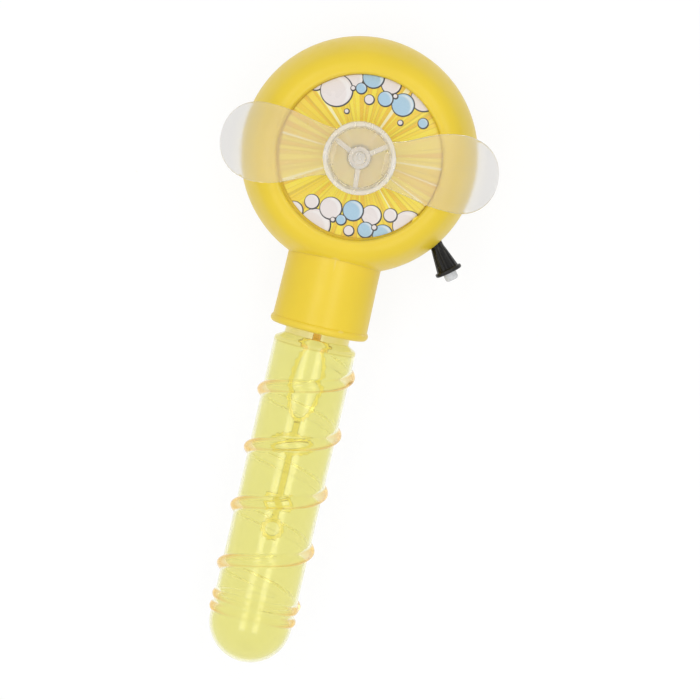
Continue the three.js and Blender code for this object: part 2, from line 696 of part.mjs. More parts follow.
// ---- Fan ----
function bladeOutline() {
  const rootR = HUB_R + 0.65;
  const innerR = HUB_R - HUB_WALL;
  const headOut = innerR - 1.25;
  const headIn = headOut - 1.4;
  const rootX = Math.sqrt(rootR ** 2 - BLADE_ROOT_HALF ** 2);
  const tangX = Math.sqrt(rootR ** 2 - TANG_HALF ** 2);
  const rootAngle = Math.asin(BLADE_ROOT_HALF / rootR);
  const tangAngle = Math.asin(TANG_HALF / rootR);
  const low = BLADE_SHIFT - BLADE_WIDE_HALF;
  const high = BLADE_SHIFT + BLADE_WIDE_HALF;
  const wideX = BLADE_TIP_R - BLADE_WIDE_HALF * 0.95;
  const outline = new THREE.Shape();
  outline.moveTo(rootX, -BLADE_ROOT_HALF);
  outline.bezierCurveTo(rootX + 9, -BLADE_ROOT_HALF - 0.5, wideX - 12, low, wideX, low);
  outline.bezierCurveTo(wideX + 9, low, BLADE_TIP_R, low + 7, BLADE_TIP_R, BLADE_SHIFT);
  outline.bezierCurveTo(BLADE_TIP_R, high - 7, wideX + 9, high, wideX - 1, high);
  outline.bezierCurveTo(wideX - 13, high, rootX + 8, BLADE_ROOT_HALF + 1, rootX, BLADE_ROOT_HALF);
  outline.absarc(0, 0, rootR, rootAngle, tangAngle, true);
  outline.lineTo(tangX, TANG_HALF);
  outline.lineTo(headOut, TANG_HALF);
  outline.lineTo(headOut, TANG_HEAD_HALF);
  outline.lineTo(headIn, TANG_HEAD_HALF);
  outline.lineTo(headIn, -TANG_HEAD_HALF);
  outline.lineTo(headOut, -TANG_HEAD_HALF);
  outline.lineTo(headOut, -TANG_HALF);
  outline.lineTo(tangX, -TANG_HALF);
  outline.absarc(0, 0, rootR, -tangAngle, -rootAngle, true);
  return outline;
}

function placeOnFan(geometry, index) {
  geometry.rotateX(rad(BLADE_PITCH));
  geometry.rotateZ(rad(FAN_TURN + 180 * index));
  return geometry.translate(0, 0, BLADE_Z);
}

function fanBlade(index) {
  const options = { depth: BLADE_THICK, bevelEnabled: false, curveSegments: 10 };
  const blade = new THREE.ExtrudeGeometry(bladeOutline(), options);
  return placeOnFan(blade.translate(0, 0, -BLADE_THICK / 2), index);
}

function fanHub() {
  const inner = HUB_R - HUB_WALL;
  let hub = solid(ring(inner, HUB_R, HUB_BACK_Z, HUB_FRONT_Z, ROUND));
  hub = hub.add(solid(rod(inner + 0.5, HUB_BACK_Z, HUB_BACK_Z + HUB_FLOOR, ROUND)));
  hub = hub.add(solid(rod(HUB_FOOT_R, HUB_BACK_Z, HUB_BACK_Z + HUB_FOOT, 24)));
  hub = hub.add(solid(rod(HUB_BOSS_R, HUB_BACK_Z, HUB_FRONT_Z, 24)));
  for (let i = 0; i < 3; i += 1) {
    const half = SPOKE_WIDTH / 2;
    const top = HUB_BACK_Z + SPOKE_THICK;
    const spoke = box(1, inner + 0.5, -half, half, HUB_BACK_Z, top);
    hub = hub.add(solid(spoke.rotateZ(rad(SPOKE_TURN + 120 * i))));
  }
  for (const index of [0, 1]) {
    const w = TANG_HALF + CLEAR;
    const t = BLADE_THICK / 2 + CLEAR;
    hub = hub.subtract(solid(placeOnFan(box(inner - 1, HUB_R + 1, -w, w, -t, t), index)));
  }
  const bore = rod(SHAFT_R + SHAFT_ROOM, HUB_BACK_Z - 1, SHAFT_TOP_Z + CLEAR, 16);
  return geometryOf(hub.subtract(solid(bore)));
}

// ---- Switch ----
function switchGuard() {
  const wideR = GUARD_MOUTH_R + GUARD_RIM_OUT;
  const points = [
    [ROD_R + CLEAR, GUARD_FLANGE_BACK],
    [GUARD_FLANGE_R, GUARD_FLANGE_BACK],
    [GUARD_FLANGE_R, GUARD_FLANGE_TOP],
    [GUARD_BASE_R, GUARD_FLANGE_TOP],
    [GUARD_BASE_R, 0.6],
    [GUARD_MOUTH_R, GUARD_LENGTH - GUARD_RIM],
    [wideR, GUARD_LENGTH - GUARD_RIM],
    [wideR, GUARD_LENGTH],
    [GUARD_MOUTH_R - GUARD_WALL, GUARD_LENGTH],
    [GUARD_BASE_R - 0.1, GUARD_FLOOR],
    [ROD_R + CLEAR, GUARD_FLOOR],
    [ROD_R + CLEAR, GUARD_FLANGE_BACK],
  ];
  return onSwitchAxis(turned(points, 16));
}

function switchButton() {
  const top = NUB_BACK + NUB_LENGTH;
  const points = [
    [0, ROD_END],
    [ROD_R, ROD_END],
    [ROD_R, NUB_BACK],
    [NUB_R, NUB_BACK],
    ...arc(NUB_R - 1, top - 1, 1, 0, 90, 3),
    [0, top],
  ];
  return onSwitchAxis(turned(points, 20));
}

function buttonClip() {
  const top = GUARD_FLANGE_BACK - CLEAR;
  return onSwitchAxis(ring(ROD_R + 0.2, ROD_R + 1.4, top - 0.8, top, 16));
}

function buttonSpring() {
  const top = NUB_BACK - CLEAR - BUTTON_WIRE_R;
  const foot = GUARD_FLOOR + CLEAR + BUTTON_WIRE_R;
  const turns = 4;
  const curve = helix(ROD_R + 0.65, 0, top, turns, (top - foot) / turns);
  return onSwitchAxis(sweep(curve, BUTTON_WIRE_R, 5, turns * 8).rotateX(Math.PI / 2));
}

function switchBlock() {
  const low = -LEAF_HALF - 3;
  const back = BLOCK_TOP - BLOCK_DEPTH;
  const pillarTop = LEAF_TOP + 0.8;
  const z = BLOCK_HALF_Z;
  const base = box(low, LEAF_HALF, -z, z, back, BLOCK_TOP);
  const pillar = box(low, -LEAF_HALF - CLEAR, -z, z, back, pillarTop);
  return onSwitchAxis(geometryOf(solid(base).add(solid(pillar))));
}

// The inner leaf has a tab that rises past the block, where its wire is soldered.
function switchLeaf(top, tabDepth) {
  const strip = solid(box(-LEAF_HALF, LEAF_HALF, -2, 2, top - LEAF_THICK, top));
  const tab = solid(box(LEAF_TAB_IN, LEAF_HALF, -2, tabDepth, top - LEAF_THICK, top));
  return onSwitchAxis(geometryOf(strip.add(tab)));
}

// ---- Cells and contacts ----
// Cell 1, on the left, has its positive nub towards +Y; cell 2 faces the other way.
const CELL_SIGNS = [1, -1];
const NUB_TIP_Y = BAY_HALF - PLATE_THICK - CLEAR;
const CELL_FOOT_Y = NUB_TIP_Y - CELL_LENGTH;

function cell(index) {
  const nubFoot = CELL_LENGTH - CELL_NUB;
  const points = [
    [0, 0],
    [CELL_R - 0.8, 0],
    [CELL_R, 0.8],
    [CELL_R, nubFoot - 0.8],
    [CELL_R - 0.8, nubFoot],
    [CELL_NUB_R, nubFoot],
    [CELL_NUB_R, CELL_LENGTH],
    [0, CELL_LENGTH],
  ];
  const g = turned(points, 18).rotateX(-Math.PI / 2).translate(0, CELL_FOOT_Y, 0);
  if (CELL_SIGNS[index] < 0) g.rotateZ(Math.PI);
  return g.translate(-CELL_X * CELL_SIGNS[index], 0, CELL_Z);
}

function cellSpring(index) {
  const turns = 3;
  const wire = 0.4;
  const foot = -BAY_HALF + PLATE_THICK + CLEAR + wire;
  const top = CELL_FOOT_Y - CLEAR - wire;
  class Cone extends THREE.Curve {
    getPoint(t, target = new THREE.Vector3()) {
      const a = t * turns * 2 * Math.PI;
      const r = 4.6 - 1.8 * t;
      return target.set(r * Math.cos(a), foot + (top - foot) * t, r * Math.sin(a));
    }
  }
  const g = sweep(new Cone(), wire, 5, turns * 9);
  if (CELL_SIGNS[index] < 0) g.rotateZ(Math.PI);
  return g.translate(-CELL_X * CELL_SIGNS[index], 0, CELL_Z);
}

const PLATE_FOOT_Z = CELL_Z - 5;

function batteryBridge() {
  const x = CELL_X + 5;
  const y = BAY_HALF - CLEAR / 2;
  const barFoot = DOOR_BOSS_TOP + CLEAR;
  let bridge = solid(box(-x, x, y - PLATE_THICK, y, barFoot, barFoot + 2.5));
  for (const side of [-1, 1]) {
    const mid = side * CELL_X;
    bridge = bridge.add(solid(box(mid - 5, mid + 5, y - PLATE_THICK, y, PLATE_FOOT_Z, barFoot + 1)));
  }
  return geometryOf(bridge);
}

// side 1 is the positive contact, at cell 2's nub; side -1 the negative, at cell 1's spring.
function contactPlate(side) {
  const x = side * CELL_X;
  const y = -BAY_HALF + CLEAR / 2;
  const plate = solid(box(x - 5, x + 5, y, y + PLATE_THICK, PLATE_FOOT_Z, CELL_Z + 5));
  const tab = solid(box(x - 1.5, x + 1.5, y, y + PLATE_THICK, CELL_Z, PLATE_TAB_TOP));
  return geometryOf(plate.add(tab));
}

// ---- Wires ----
function wire(points) {
  const curve = new THREE.CatmullRomCurve3(points, false, "centripetal");
  const steps = Math.min(80, Math.round(curve.getLength() / (WIRE_R * 4)));
  return sweep(curve, WIRE_R, 8, steps);
}

const at = (x, y, z) => new THREE.Vector3(x, y, z);
const tabEnd = (side) => at(side * CELL_X, -BAY_HALF + CLEAR, PLATE_TAB_TOP + CLEAR);
const terminalEnd = (side) => {
  const z = CAP_BACK_Z - CLEAR - TERMINAL_LENGTH - CLEAR - WIRE_R;
  return at(side * TERMINAL_X, 0, z);
};

// From the positive contact to the outer leaf's near edge.
function wirePlus() {
  const leaf = switchPoint(LEAF_TOP - LEAF_THICK / 2, -2.6, -2 - CLEAR);
  const underBlock = MID_Z - BLOCK_HALF_Z - WIRE_R - 1;
  return wire([
    tabEnd(1),
    at(CELL_X + 1, -BAY_HALF + 0.2, PLATE_TAB_TOP + 1.7),
    at(CELL_X + 4, -BAY_HALF + 0.1, PLATE_TAB_TOP + 0.9),
    at(CELL_X + 7, -BAY_HALF + 1, underBlock + 0.5),
    at(leaf.x - 1.2, leaf.y - 2.4, underBlock),
    at(leaf.x, leaf.y, underBlock + 0.5),
    leaf,
  ]);
}

// From the inner leaf's far edge, over cell 2 and down beside it to the motor's terminal.
function wireSwitch() {
  const across = (LEAF_TAB_IN + LEAF_HALF) / 2;
  const depth = BLOCK_HALF_Z + LEAF_TAB_RISE + CLEAR;
  const leaf = switchPoint(LEAF_2_TOP - LEAF_THICK / 2, across, depth);
  const end = terminalEnd(1);
  return wire([
    leaf,
    at(leaf.x, leaf.y + 0.4, leaf.z + 1.5),
    at(leaf.x - 2.5, leaf.y + 7, 25),
    at(20, -8, 20.5),
    at(10, -11.8, 18.8),
    at(6.2, -12, 15.5),
    at(6.1, -11.6, CLAMP_BACK_Z),
    at(5.2, -6, end.z + 0.2),
    end,
  ]);
}

function wireMinus() {
  const end = terminalEnd(-1);
  return wire([
    tabEnd(-1),
    at(-CELL_X + 1, -BAY_HALF + 1.5, PLATE_TAB_TOP + 1.7),
    at(-10, -20, 19.6),
    at(-6.6, -13.5, 17.5),
    at(-6.1, -12, 14),
    at(-6.1, -11.6, CLAMP_BACK_Z),
    at(-5.2, -6, end.z + 0.2),
    end,
  ]);
}

// ---- Assembly ----
const group = new THREE.Group();
group.name = "bubble_machine";

const finish = (color, roughness, metalness = 0) => ({ color, roughness, metalness });
const YELLOW = finish(0xeccd3c, 0.35);
const PET = { ...finish(0xe9e38a, 0.08), transparent: true, opacity: 0.45 };
const MILKY = finish(0xe8e4da, 0.5);
const STEEL = finish(0x9c9a96, 0.35, 1);
const BRASS = finish(0xc9a75a, 0.35, 1);
const COPPER = finish(0xb06a3c, 0.4, 1);
const BLACK = finish(0x26241f, 0.45);

function piece(name, geometry, look) {
  const mesh = new THREE.Mesh(geometry, new THREE.MeshStandardMaterial(look));
  mesh.name = name;
  group.add(mesh);
  return mesh;
}

piece("front_shell", frontShell(), YELLOW);
piece("rear_shell", rearShell(), YELLOW);
piece("battery_door", batteryDoor(), YELLOW);
piece("front_label", frontLabel(), finish(0xe9dc7a, 0.4));
caseScrewPlaces.forEach(({ x, y }, i) => {
  const mesh = piece(`case_screw_${i + 1}`, screw(MID_Z + 9 - CASE_HEAD_SEAT), STEEL);
  mesh.position.set(x, y, CASE_HEAD_SEAT);
});
[-1, 1].forEach((side, i) => {
  // The head is sunk in the door, its seat 0.9 mm above the back face.
  const mesh = piece(`door_screw_${i + 1}`, screw(DOOR_BOSS_TOP - 4, 0.75), STEEL);
  mesh.position.set(0, side * DOOR_BOSS_Y, 0.9);
});

piece("neck_collar", neckCollar(), YELLOW);
piece("bubble_wand", bubbleWand(), YELLOW);
piece("bottle_gasket", bottleGasket(), finish(0xdcdcd4, 0.7));
piece("bottle", bottle(), PET);

piece("motor_can", motorCan(), STEEL);
piece("motor_end_cap", motorEndCap(), finish(0xdad7cc, 0.5));
[-1, 1].forEach((side, i) => {
  piece(`motor_magnet_${i + 1}`, motorMagnet(side), finish(0x3a3836, 0.6));
  piece(`motor_brush_${i + 1}`, motorBrush(side), COPPER);
  piece(`motor_terminal_${i + 1}`, motorTerminal(side), BRASS);
  const mesh = piece(`clamp_screw_${i + 1}`, screw(7), STEEL);
  mesh.position.set(0, side * POST_Y, CLAMP_BACK_Z);
});
piece("motor_armature", motorArmature(), COPPER);
piece("motor_shaft", rod(SHAFT_R, CAP_BACK_Z + 1 + CLEAR, SHAFT_TOP_Z, 16), STEEL);
const bushFoot = CAN_FRONT_Z - CAN_WALL;
piece("motor_bush", ring(SHAFT_R + 0.1, NOSE_BORE_R - 0.2, bushFoot, NOSE_TOP_Z - 0.3, 24), BRASS);
piece("motor_clamp", motorClamp(), finish(0xe8e6de, 0.5));

piece("fan_hub", fanHub(), MILKY);
[0, 1].forEach((index) => piece(`fan_blade_${index + 1}`, fanBlade(index), MILKY));

piece("switch_guard", switchGuard(), BLACK);
piece("switch_button", switchButton(), finish(0xe6e6e8, 0.35));
piece("button_clip", buttonClip(), STEEL);
piece("button_spring", buttonSpring(), STEEL);
piece("switch_block", switchBlock(), BLACK);
piece("switch_leaf_1", switchLeaf(LEAF_TOP, 2), BRASS);
piece("switch_leaf_2", switchLeaf(LEAF_2_TOP, BLOCK_HALF_Z + LEAF_TAB_RISE), BRASS);

[0, 1].forEach((index) => {
  piece(`battery_${index + 1}`, cell(index), finish(0x2f6f4f, 0.35));
  piece(`battery_spring_${index + 1}`, cellSpring(index), STEEL);
});
piece("battery_bridge", batteryBridge(), STEEL);
piece("contact_minus", contactPlate(-1), STEEL);
piece("contact_plus", contactPlate(1), STEEL);
piece("wire_plus", wirePlus(), finish(0xb02018, 0.5));
piece("wire_switch", wireSwitch(), finish(0xb02018, 0.5));
piece("wire_minus", wireMinus(), finish(0x1c1c1c, 0.5));

export default group;
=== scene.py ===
import json
import math

import bmesh
import bpy
from mathutils import Matrix, Vector, geometry


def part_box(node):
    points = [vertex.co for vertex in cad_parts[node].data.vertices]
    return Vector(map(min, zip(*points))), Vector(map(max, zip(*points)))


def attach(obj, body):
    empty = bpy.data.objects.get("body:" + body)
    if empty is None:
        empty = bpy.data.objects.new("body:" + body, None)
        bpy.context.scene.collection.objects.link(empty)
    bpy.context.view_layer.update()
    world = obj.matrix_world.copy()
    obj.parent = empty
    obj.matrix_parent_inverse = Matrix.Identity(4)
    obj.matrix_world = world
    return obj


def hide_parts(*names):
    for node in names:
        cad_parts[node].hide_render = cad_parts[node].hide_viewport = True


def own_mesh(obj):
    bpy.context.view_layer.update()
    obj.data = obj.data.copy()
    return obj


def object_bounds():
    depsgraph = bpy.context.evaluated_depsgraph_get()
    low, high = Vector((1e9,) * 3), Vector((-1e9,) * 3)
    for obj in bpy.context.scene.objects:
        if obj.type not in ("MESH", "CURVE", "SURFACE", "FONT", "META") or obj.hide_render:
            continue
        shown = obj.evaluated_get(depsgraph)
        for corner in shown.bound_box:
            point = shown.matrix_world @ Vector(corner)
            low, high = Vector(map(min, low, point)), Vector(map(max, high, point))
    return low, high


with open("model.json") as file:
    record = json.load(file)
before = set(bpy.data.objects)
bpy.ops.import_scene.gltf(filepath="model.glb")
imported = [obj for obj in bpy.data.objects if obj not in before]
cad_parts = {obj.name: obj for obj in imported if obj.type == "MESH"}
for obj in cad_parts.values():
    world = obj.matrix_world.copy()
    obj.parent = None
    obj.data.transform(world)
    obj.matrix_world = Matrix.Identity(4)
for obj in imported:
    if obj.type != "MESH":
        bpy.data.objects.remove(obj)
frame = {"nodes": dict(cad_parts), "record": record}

cad_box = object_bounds()

# ---- The stage ----
# The toy lies on its flat back on a pale floor, and the camera looks down on it from far off, a
# little from the head's side. The surround is an even white, with two long strip lamps that run
# along the bottle.
VIEW_CENTRE = (0.0132, -0.0722)
VIEW_WIDTH = 0.2625
VIEW_TURN = math.radians(13.1)
VIEW_LEAN = math.radians(4.2)
VIEW_FROM = 3.0
SENSOR = 36.0
SURROUND_LIGHT = 0.73
FLOOR_WHITE = 1.03
FLOOR_SHOW = 0.85
FLOOR_HALF = 4.0
FLOOR_DROP = 0.0004
STRIP_WIDTH = 0.32
STRIP_LENGTH = 1.3
STRIP_AWAY = 1.1
STRIPS = [("strip_left", -22.0, 2.5), ("strip_right", 17.0, 2.4)]


def feed(tree, node, inputs):
    """Sets a node's inputs. Each is a value, or another node's output to be linked."""
    for name, value in inputs.items():
        if isinstance(value, bpy.types.NodeSocket):
            tree.links.new(value, node.inputs[name])
        else:
            node.inputs[name].default_value = value


def put(tree, kind, inputs=None, **settings):
    """A new node, with its settings and its inputs."""
    made = tree.nodes.new(kind)
    for name, value in settings.items():
        setattr(made, name, value)
    feed(tree, made, inputs or {})
    return made


def math_of(tree, operation, first, second=0.0):
    made = put(tree, "ShaderNodeMath", {0: first, 1: second}, operation=operation)
    return made.outputs[0]


def spread(tree, value, from_low, from_high, to_low, to_high):
    """Maps a value between two limits to two others, and holds it there."""
    limits = {"From Min": from_low, "From Max": from_high, "To Min": to_low, "To Max": to_high}
    return put(tree, "ShaderNodeMapRange", {"Value": value, **limits}).outputs["Result"]


def seen_plainly(tree):
    """1 for the rays that show the surround as it looks: straight, in gloss and through glass."""
    path = put(tree, "ShaderNodeLightPath").outputs
    straight = math_of(tree, "MAXIMUM", path["Is Camera Ray"], path["Is Glossy Ray"])
    return math_of(tree, "MAXIMUM", straight, path["Is Transmission Ray"])


scene = bpy.context.scene
scene.view_settings.view_transform = "Standard"
for left_over in ("Cube", "Light", "Camera"):
    if left_over in bpy.data.objects:
        bpy.data.objects.remove(bpy.data.objects[left_over])

camera = bpy.data.objects.new("camera", bpy.data.cameras.new("camera"))
scene.collection.objects.link(camera)
seam_z = (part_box("neck_collar")[0].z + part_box("neck_collar")[1].z) / 2
camera.rotation_euler = (-VIEW_LEAN, 0, VIEW_TURN)
back_off = camera.rotation_euler.to_matrix() @ Vector((0, 0, VIEW_FROM))
camera.location = Vector((*VIEW_CENTRE, seam_z)) + back_off
camera.data.sensor_width = SENSOR
camera.data.lens = SENSOR * VIEW_FROM / VIEW_WIDTH
scene.camera = camera

world = bpy.data.worlds.new("surround")
world.use_nodes = True
scene.world = world
tree = world.node_tree
lit_or_seen = spread(tree, seen_plainly(tree), 0.0, 1.0, SURROUND_LIGHT, 1.0)
feed(tree, tree.nodes["Background"], {"Color": (1, 1, 1, 1), "Strength": lit_or_seen})

floor_mesh = bmesh.new()
bmesh.ops.create_grid(floor_mesh, x_segments=1, y_segments=1, size=FLOOR_HALF)
bmesh.ops.translate(floor_mesh, vec=(0, 0, cad_box[0].z - FLOOR_DROP), verts=floor_mesh.verts)
floor = bpy.data.objects.new("floor", bpy.data.meshes.new("floor"))
floor_mesh.to_mesh(floor.data)
floor_mesh.free()
scene.collection.objects.link(floor)
paper = bpy.data.materials.new("floor_paper")
paper.use_nodes = True
tree = paper.node_tree
tree.nodes.clear()
sheet = put(tree, "ShaderNodeBsdfDiffuse", {"Color": (0.88, 0.88, 0.88, 1)})
glow = put(tree, "ShaderNodeEmission", {"Strength": FLOOR_WHITE})
share = math_of(tree, "MULTIPLY", seen_plainly(tree), FLOOR_SHOW)
both = put(tree, "ShaderNodeMixShader", {0: share, 1: sheet.outputs[0], 2: glow.outputs[0]})
put(tree, "ShaderNodeOutputMaterial", {"Surface": both.outputs[0]})
floor.data.materials.append(paper)

for strip_name, degrees, watts in STRIPS:
    strip = bpy.data.objects.new(strip_name, bpy.data.lights.new(strip_name, "AREA"))
    strip.data.shape = "RECTANGLE"
    strip.data.size = STRIP_WIDTH
    strip.data.size_y = STRIP_LENGTH
    strip.data.energy = watts
    aside = math.radians(degrees)
    strip.rotation_euler = (0, aside, 0)
    strip.location = (
        math.sin(aside) * STRIP_AWAY,
        VIEW_CENTRE[1],
        seam_z + math.cos(aside) * STRIP_AWAY,
    )
    scene.collection.objects.link(strip)

# ---- Front shell ----
# The front half of the head: a moulded ring of yellow ABS with a round dish in its face, where the
# label lies. Three screw bosses, the two motor posts and the switch's hanger are moulded inside it.
MM = 0.001
HEAD_R = 44.4
HEAD_THICK = 42.0
MID_Z = seam_z / MM
WALL = 2.0
SIDE_ARC_R = 34.0
EDGE_R = 8.0
SEAM_GAP = 0.3
SEAM_ROUND = 0.25
TONGUE_R = 43.15
TONGUE_OVER = 1.3
TONGUE_ROOM = 0.15
DISH_R = 31.0
DISH_Z = HEAD_THICK - 3.5
DISH_LIP = 1.5
NOSE_HOLE_R = 4.6
POST_R = 3.0
HANGER_R = 2.5
BOSS_R = 4.2
PILOT_R = 1.1
CASE_PILOT = 11.0
CLAMP_PILOT = 9.0
HEAD_STEPS = 240
COLLAR_HOLE_R = 17.8
GUARD_HOLE_R = 2.75
SHELL_YELLOW = (0.82, 0.60, 0.026, 1)


def millimetres(node):
    """A CAD node's lowest and highest corners, in mm."""
    low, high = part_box(node)
    return low / MM, high / MM


def middle(node):
    low, high = millimetres(node)
    return (low + high) / 2


def line(bm, pen, *points):
    """Draws straight lines from a vertex through (radius, height) points; gives the last vertex."""
    for radius, height in points:
        following = bm.verts.new((radius, 0, height))
        bm.edges.new((pen, following))
        pen = following
    return pen


def arc(bm, pen, centre, degrees, steps):
    """Swings a vertex about a (radius, height) centre, from +X towards +Z; gives the last one."""
    swung = bmesh.ops.spin(
        bm,
        geom=[pen],
        cent=(centre[0], 0, centre[1]),
        axis=(0, -1, 0),
        angle=math.radians(degrees),
        steps=steps,
    )
    return next(g for g in swung["geom_last"] if isinstance(g, bmesh.types.BMVert))


def round_corner(bm, corner, radius):
    """Rounds a corner of a drawn section with an arc."""
    legs = [(e.other_vert(corner).co - corner.co).normalized() for e in corner.link_edges]
    bmesh.ops.bevel(
        bm,
        geom=[corner],
        offset=radius / math.tan(legs[0].angle(legs[1]) / 2),
        offset_type="OFFSET",
        segments=3,
        profile=0.5,
        affect="VERTICES",
        material=-1,
    )


def section(*points):
    """A closed section through (radius, height) points, or (radius, height, rounding) points."""
    bm = bmesh.new()
    first = bm.verts.new((points[0][0], 0, points[0][1]))
    last = line(bm, first, *[p[:2] for p in points[1:]])
    bm.edges.new((last, first))
    bm.verts.ensure_lookup_table()
    for corner, point in list(zip(bm.verts[:], points)):
        if len(point) == 3:
            round_corner(bm, corner, point[2])
    return bm


def turn(bm, steps):
    """Turns a drawn section about +Z into a closed solid."""
    bmesh.ops.spin(
        bm,
        geom=bm.verts[:] + bm.edges[:],
        cent=(0, 0, 0),
        axis=(0, 0, 1),
        angle=2 * math.pi,
        steps=steps,
        use_merge=True,
    )
    bmesh.ops.remove_doubles(bm, verts=bm.verts, dist=1e-4)
    on_axis = [e for e in bm.edges if not e.link_faces]
    bmesh.ops.delete(bm, geom=on_axis, context="EDGES")
    bmesh.ops.recalc_face_normals(bm, faces=bm.faces)
    return bm


def shifted(bm, by):
    bmesh.ops.translate(bm, vec=by, verts=bm.verts)
    return bm


def placed(bm, matrix):
    bmesh.ops.transform(bm, matrix=matrix, verts=bm.verts)
    return bm


def rod(radius, low, high, segments=40, at=(0, 0)):
    bm = bmesh.new()
    bmesh.ops.create_cone(
        bm,
        cap_ends=True,
        segments=segments,
        radius1=radius,
        radius2=radius,
        depth=high - low,
        matrix=Matrix.Translation((at[0], at[1], (low + high) / 2)),
    )
    return bm


def block(low, high):
    bm = bmesh.new()
    bmesh.ops.create_cube(bm, size=1.0)
    low, high = Vector(low), Vector(high)
    bmesh.ops.scale(bm, vec=high - low, verts=bm.verts)
    return shifted(bm, (low + high) / 2)


def combine(operation, blank, *tools):
    """Joins solids by Booleans: UNION adds each tool, DIFFERENCE cuts it out, INTERSECT keeps
    what both hold."""
    for tool in tools:
        pair = []
        for bm in (blank, tool):
            work = bpy.data.objects.new("work", bpy.data.meshes.new("work"))
            bm.to_mesh(work.data)
            bm.free()
            scene.collection.objects.link(work)
            pair.append(work)
        boolean = pair[0].modifiers.new("work", "BOOLEAN")
        boolean.operation = operation
        boolean.solver = "EXACT"
        boolean.object = pair[1]
        blank = bmesh.new()
        blank.from_object(pair[0], bpy.context.evaluated_depsgraph_get())
        for work in pair:
            mesh = work.data
            bpy.data.objects.remove(work)
            bpy.data.meshes.remove(mesh)
    return blank


def on_bottle_axis(bm):
    """Stands a piece that was turned about +Z on the bottle's axis: its height becomes y."""
    return placed(bm, Matrix.Translation((0, 0, MID_Z)) @ Matrix.Rotation(-math.pi / 2, 4, "X"))


def fit(name, bm, material, body, sharp=32.0, node=None):
    """A mesh in mm becomes a finished piece in metres, smooth but for its sharp edges. It rides on
    its body, takes its slot's finish and stands for its CAD node."""
    bmesh.ops.remove_doubles(bm, verts=bm.verts, dist=1e-5)
    bmesh.ops.scale(bm, vec=(MM, MM, MM), verts=bm.verts)
    mesh = bpy.data.meshes.new(name)
    bm.to_mesh(mesh)
    bm.free()
    mesh.shade_smooth()
    mesh.set_sharp_from_angle(angle=math.radians(sharp))
    mesh.materials.append(material)
    made = bpy.data.objects.new(name, mesh)
    scene.collection.objects.link(made)
    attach(made, body)
    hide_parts(node or name)
    return made


def group(name, inputs, outputs):
    """A new node group; gives its tree, its inputs and its output node."""
    tree = bpy.data.node_groups.new(name, "ShaderNodeTree")
    for way, sockets in (("INPUT", inputs), ("OUTPUT", outputs)):
        for socket, kind in sockets.items():
            tree.interface.new_socket(socket, in_out=way, socket_type="NodeSocket" + kind)
    return tree, put(tree, "NodeGroupInput").outputs, put(tree, "NodeGroupOutput")


def blended(tree, factor, first, second):
    colours = {"Factor": factor, 6: first, 7: second}
    return put(tree, "ShaderNodeMix", colours, data_type="RGBA").outputs[2]


def noise(tree, where, scale, detail=2.0, rough=0.5):
    inputs = {"Vector": where, "Scale": scale, "Detail": detail, "Roughness": rough}
    return put(tree, "ShaderNodeTexNoise", inputs).outputs["Fac"]


def scaled(tree, vector, by):
    made = put(tree, "ShaderNodeVectorMath", {0: vector, "Scale": by}, operation="SCALE")
    return made.outputs["Vector"]


SKIN_GIVES = {"Colour": "Color", "Roughness": "Float", "Height": "Float"}

# Moulded plastic: broad drifts of tone from the flow of the melt, a fine spark-eroded grain, faint
# rub marks that dull the gloss, and edges that handling has paled.
moulded_skin, given, result = group(
    "moulded_skin",
    {
        "Vector": "Vector",
        "Colour": "Color",
        "Tone Drift": "Float",
        "Roughness": "Float",
        "Grain Scale": "Float",
        "Rub": "Float",
        "Edge Paling": "Float",
    },
    SKIN_GIVES,
)
tree = moulded_skin
drift = noise(tree, given["Vector"], 38.0, 3.0)
low_tone = math_of(tree, "SUBTRACT", 1.0, given["Tone Drift"])
high_tone = math_of(tree, "ADD", 1.0, given["Tone Drift"])
tone = spread(tree, drift, 0.3, 0.7, low_tone, high_tone)
toned = scaled(tree, given["Colour"], tone)
bend = put(tree, "ShaderNodeNewGeometry").outputs["Pointiness"]
edge = spread(tree, bend, 0.51, 0.56, 0.0, 1.0)
edge = math_of(tree, "MULTIPLY", edge, given["Edge Paling"])
pale = blended(tree, edge, toned, (1.0, 0.98, 0.9, 1))
along = {"Vector": given["Vector"], "Scale": (1.0, 0.22, 0.6)}
stretched = put(tree, "ShaderNodeMapping", along).outputs[0]
rubbed = noise(tree, stretched, 420.0, 4.0, 0.65)
rubbed = spread(tree, rubbed, 0.52, 0.72, 0.0, 1.0)
rubbed = math_of(tree, "MULTIPLY", rubbed, given["Rub"])
gloss = math_of(tree, "ADD", given["Roughness"], rubbed)
gloss = math_of(tree, "ADD", gloss, math_of(tree, "MULTIPLY", edge, 0.3))
grain = noise(tree, given["Vector"], given["Grain Scale"], 2.0, 0.6)
feed(tree, result, {"Colour": pale, "Roughness": gloss, "Height": grain})


def new_material(name):
    """A new material; gives it, its tree, its Principled shader and its Object coordinates."""
    made = bpy.data.materials.new(name)
    made.use_nodes = True
    tree = made.node_tree
    where = put(tree, "ShaderNodeTexCoord").outputs["Object"]
    return made, tree, tree.nodes["Principled BSDF"], where


def bumped(tree, shader, height, strength, distance):
    inputs = {"Height": height, "Strength": strength, "Distance": distance}
    feed(tree, shader, {"Normal": put(tree, "ShaderNodeBump", inputs).outputs[0]})


def covered(tree, shader, skin_group, distance, inputs):
    """Places a skin group and feeds its colour, roughness and height to a shader."""
    skin = put(tree, "ShaderNodeGroup", inputs, node_tree=skin_group).outputs
    feed(tree, shader, {"Base Color": skin["Colour"], "Roughness": skin["Roughness"]})
    bumped(tree, shader, skin["Height"], 0.5, distance)


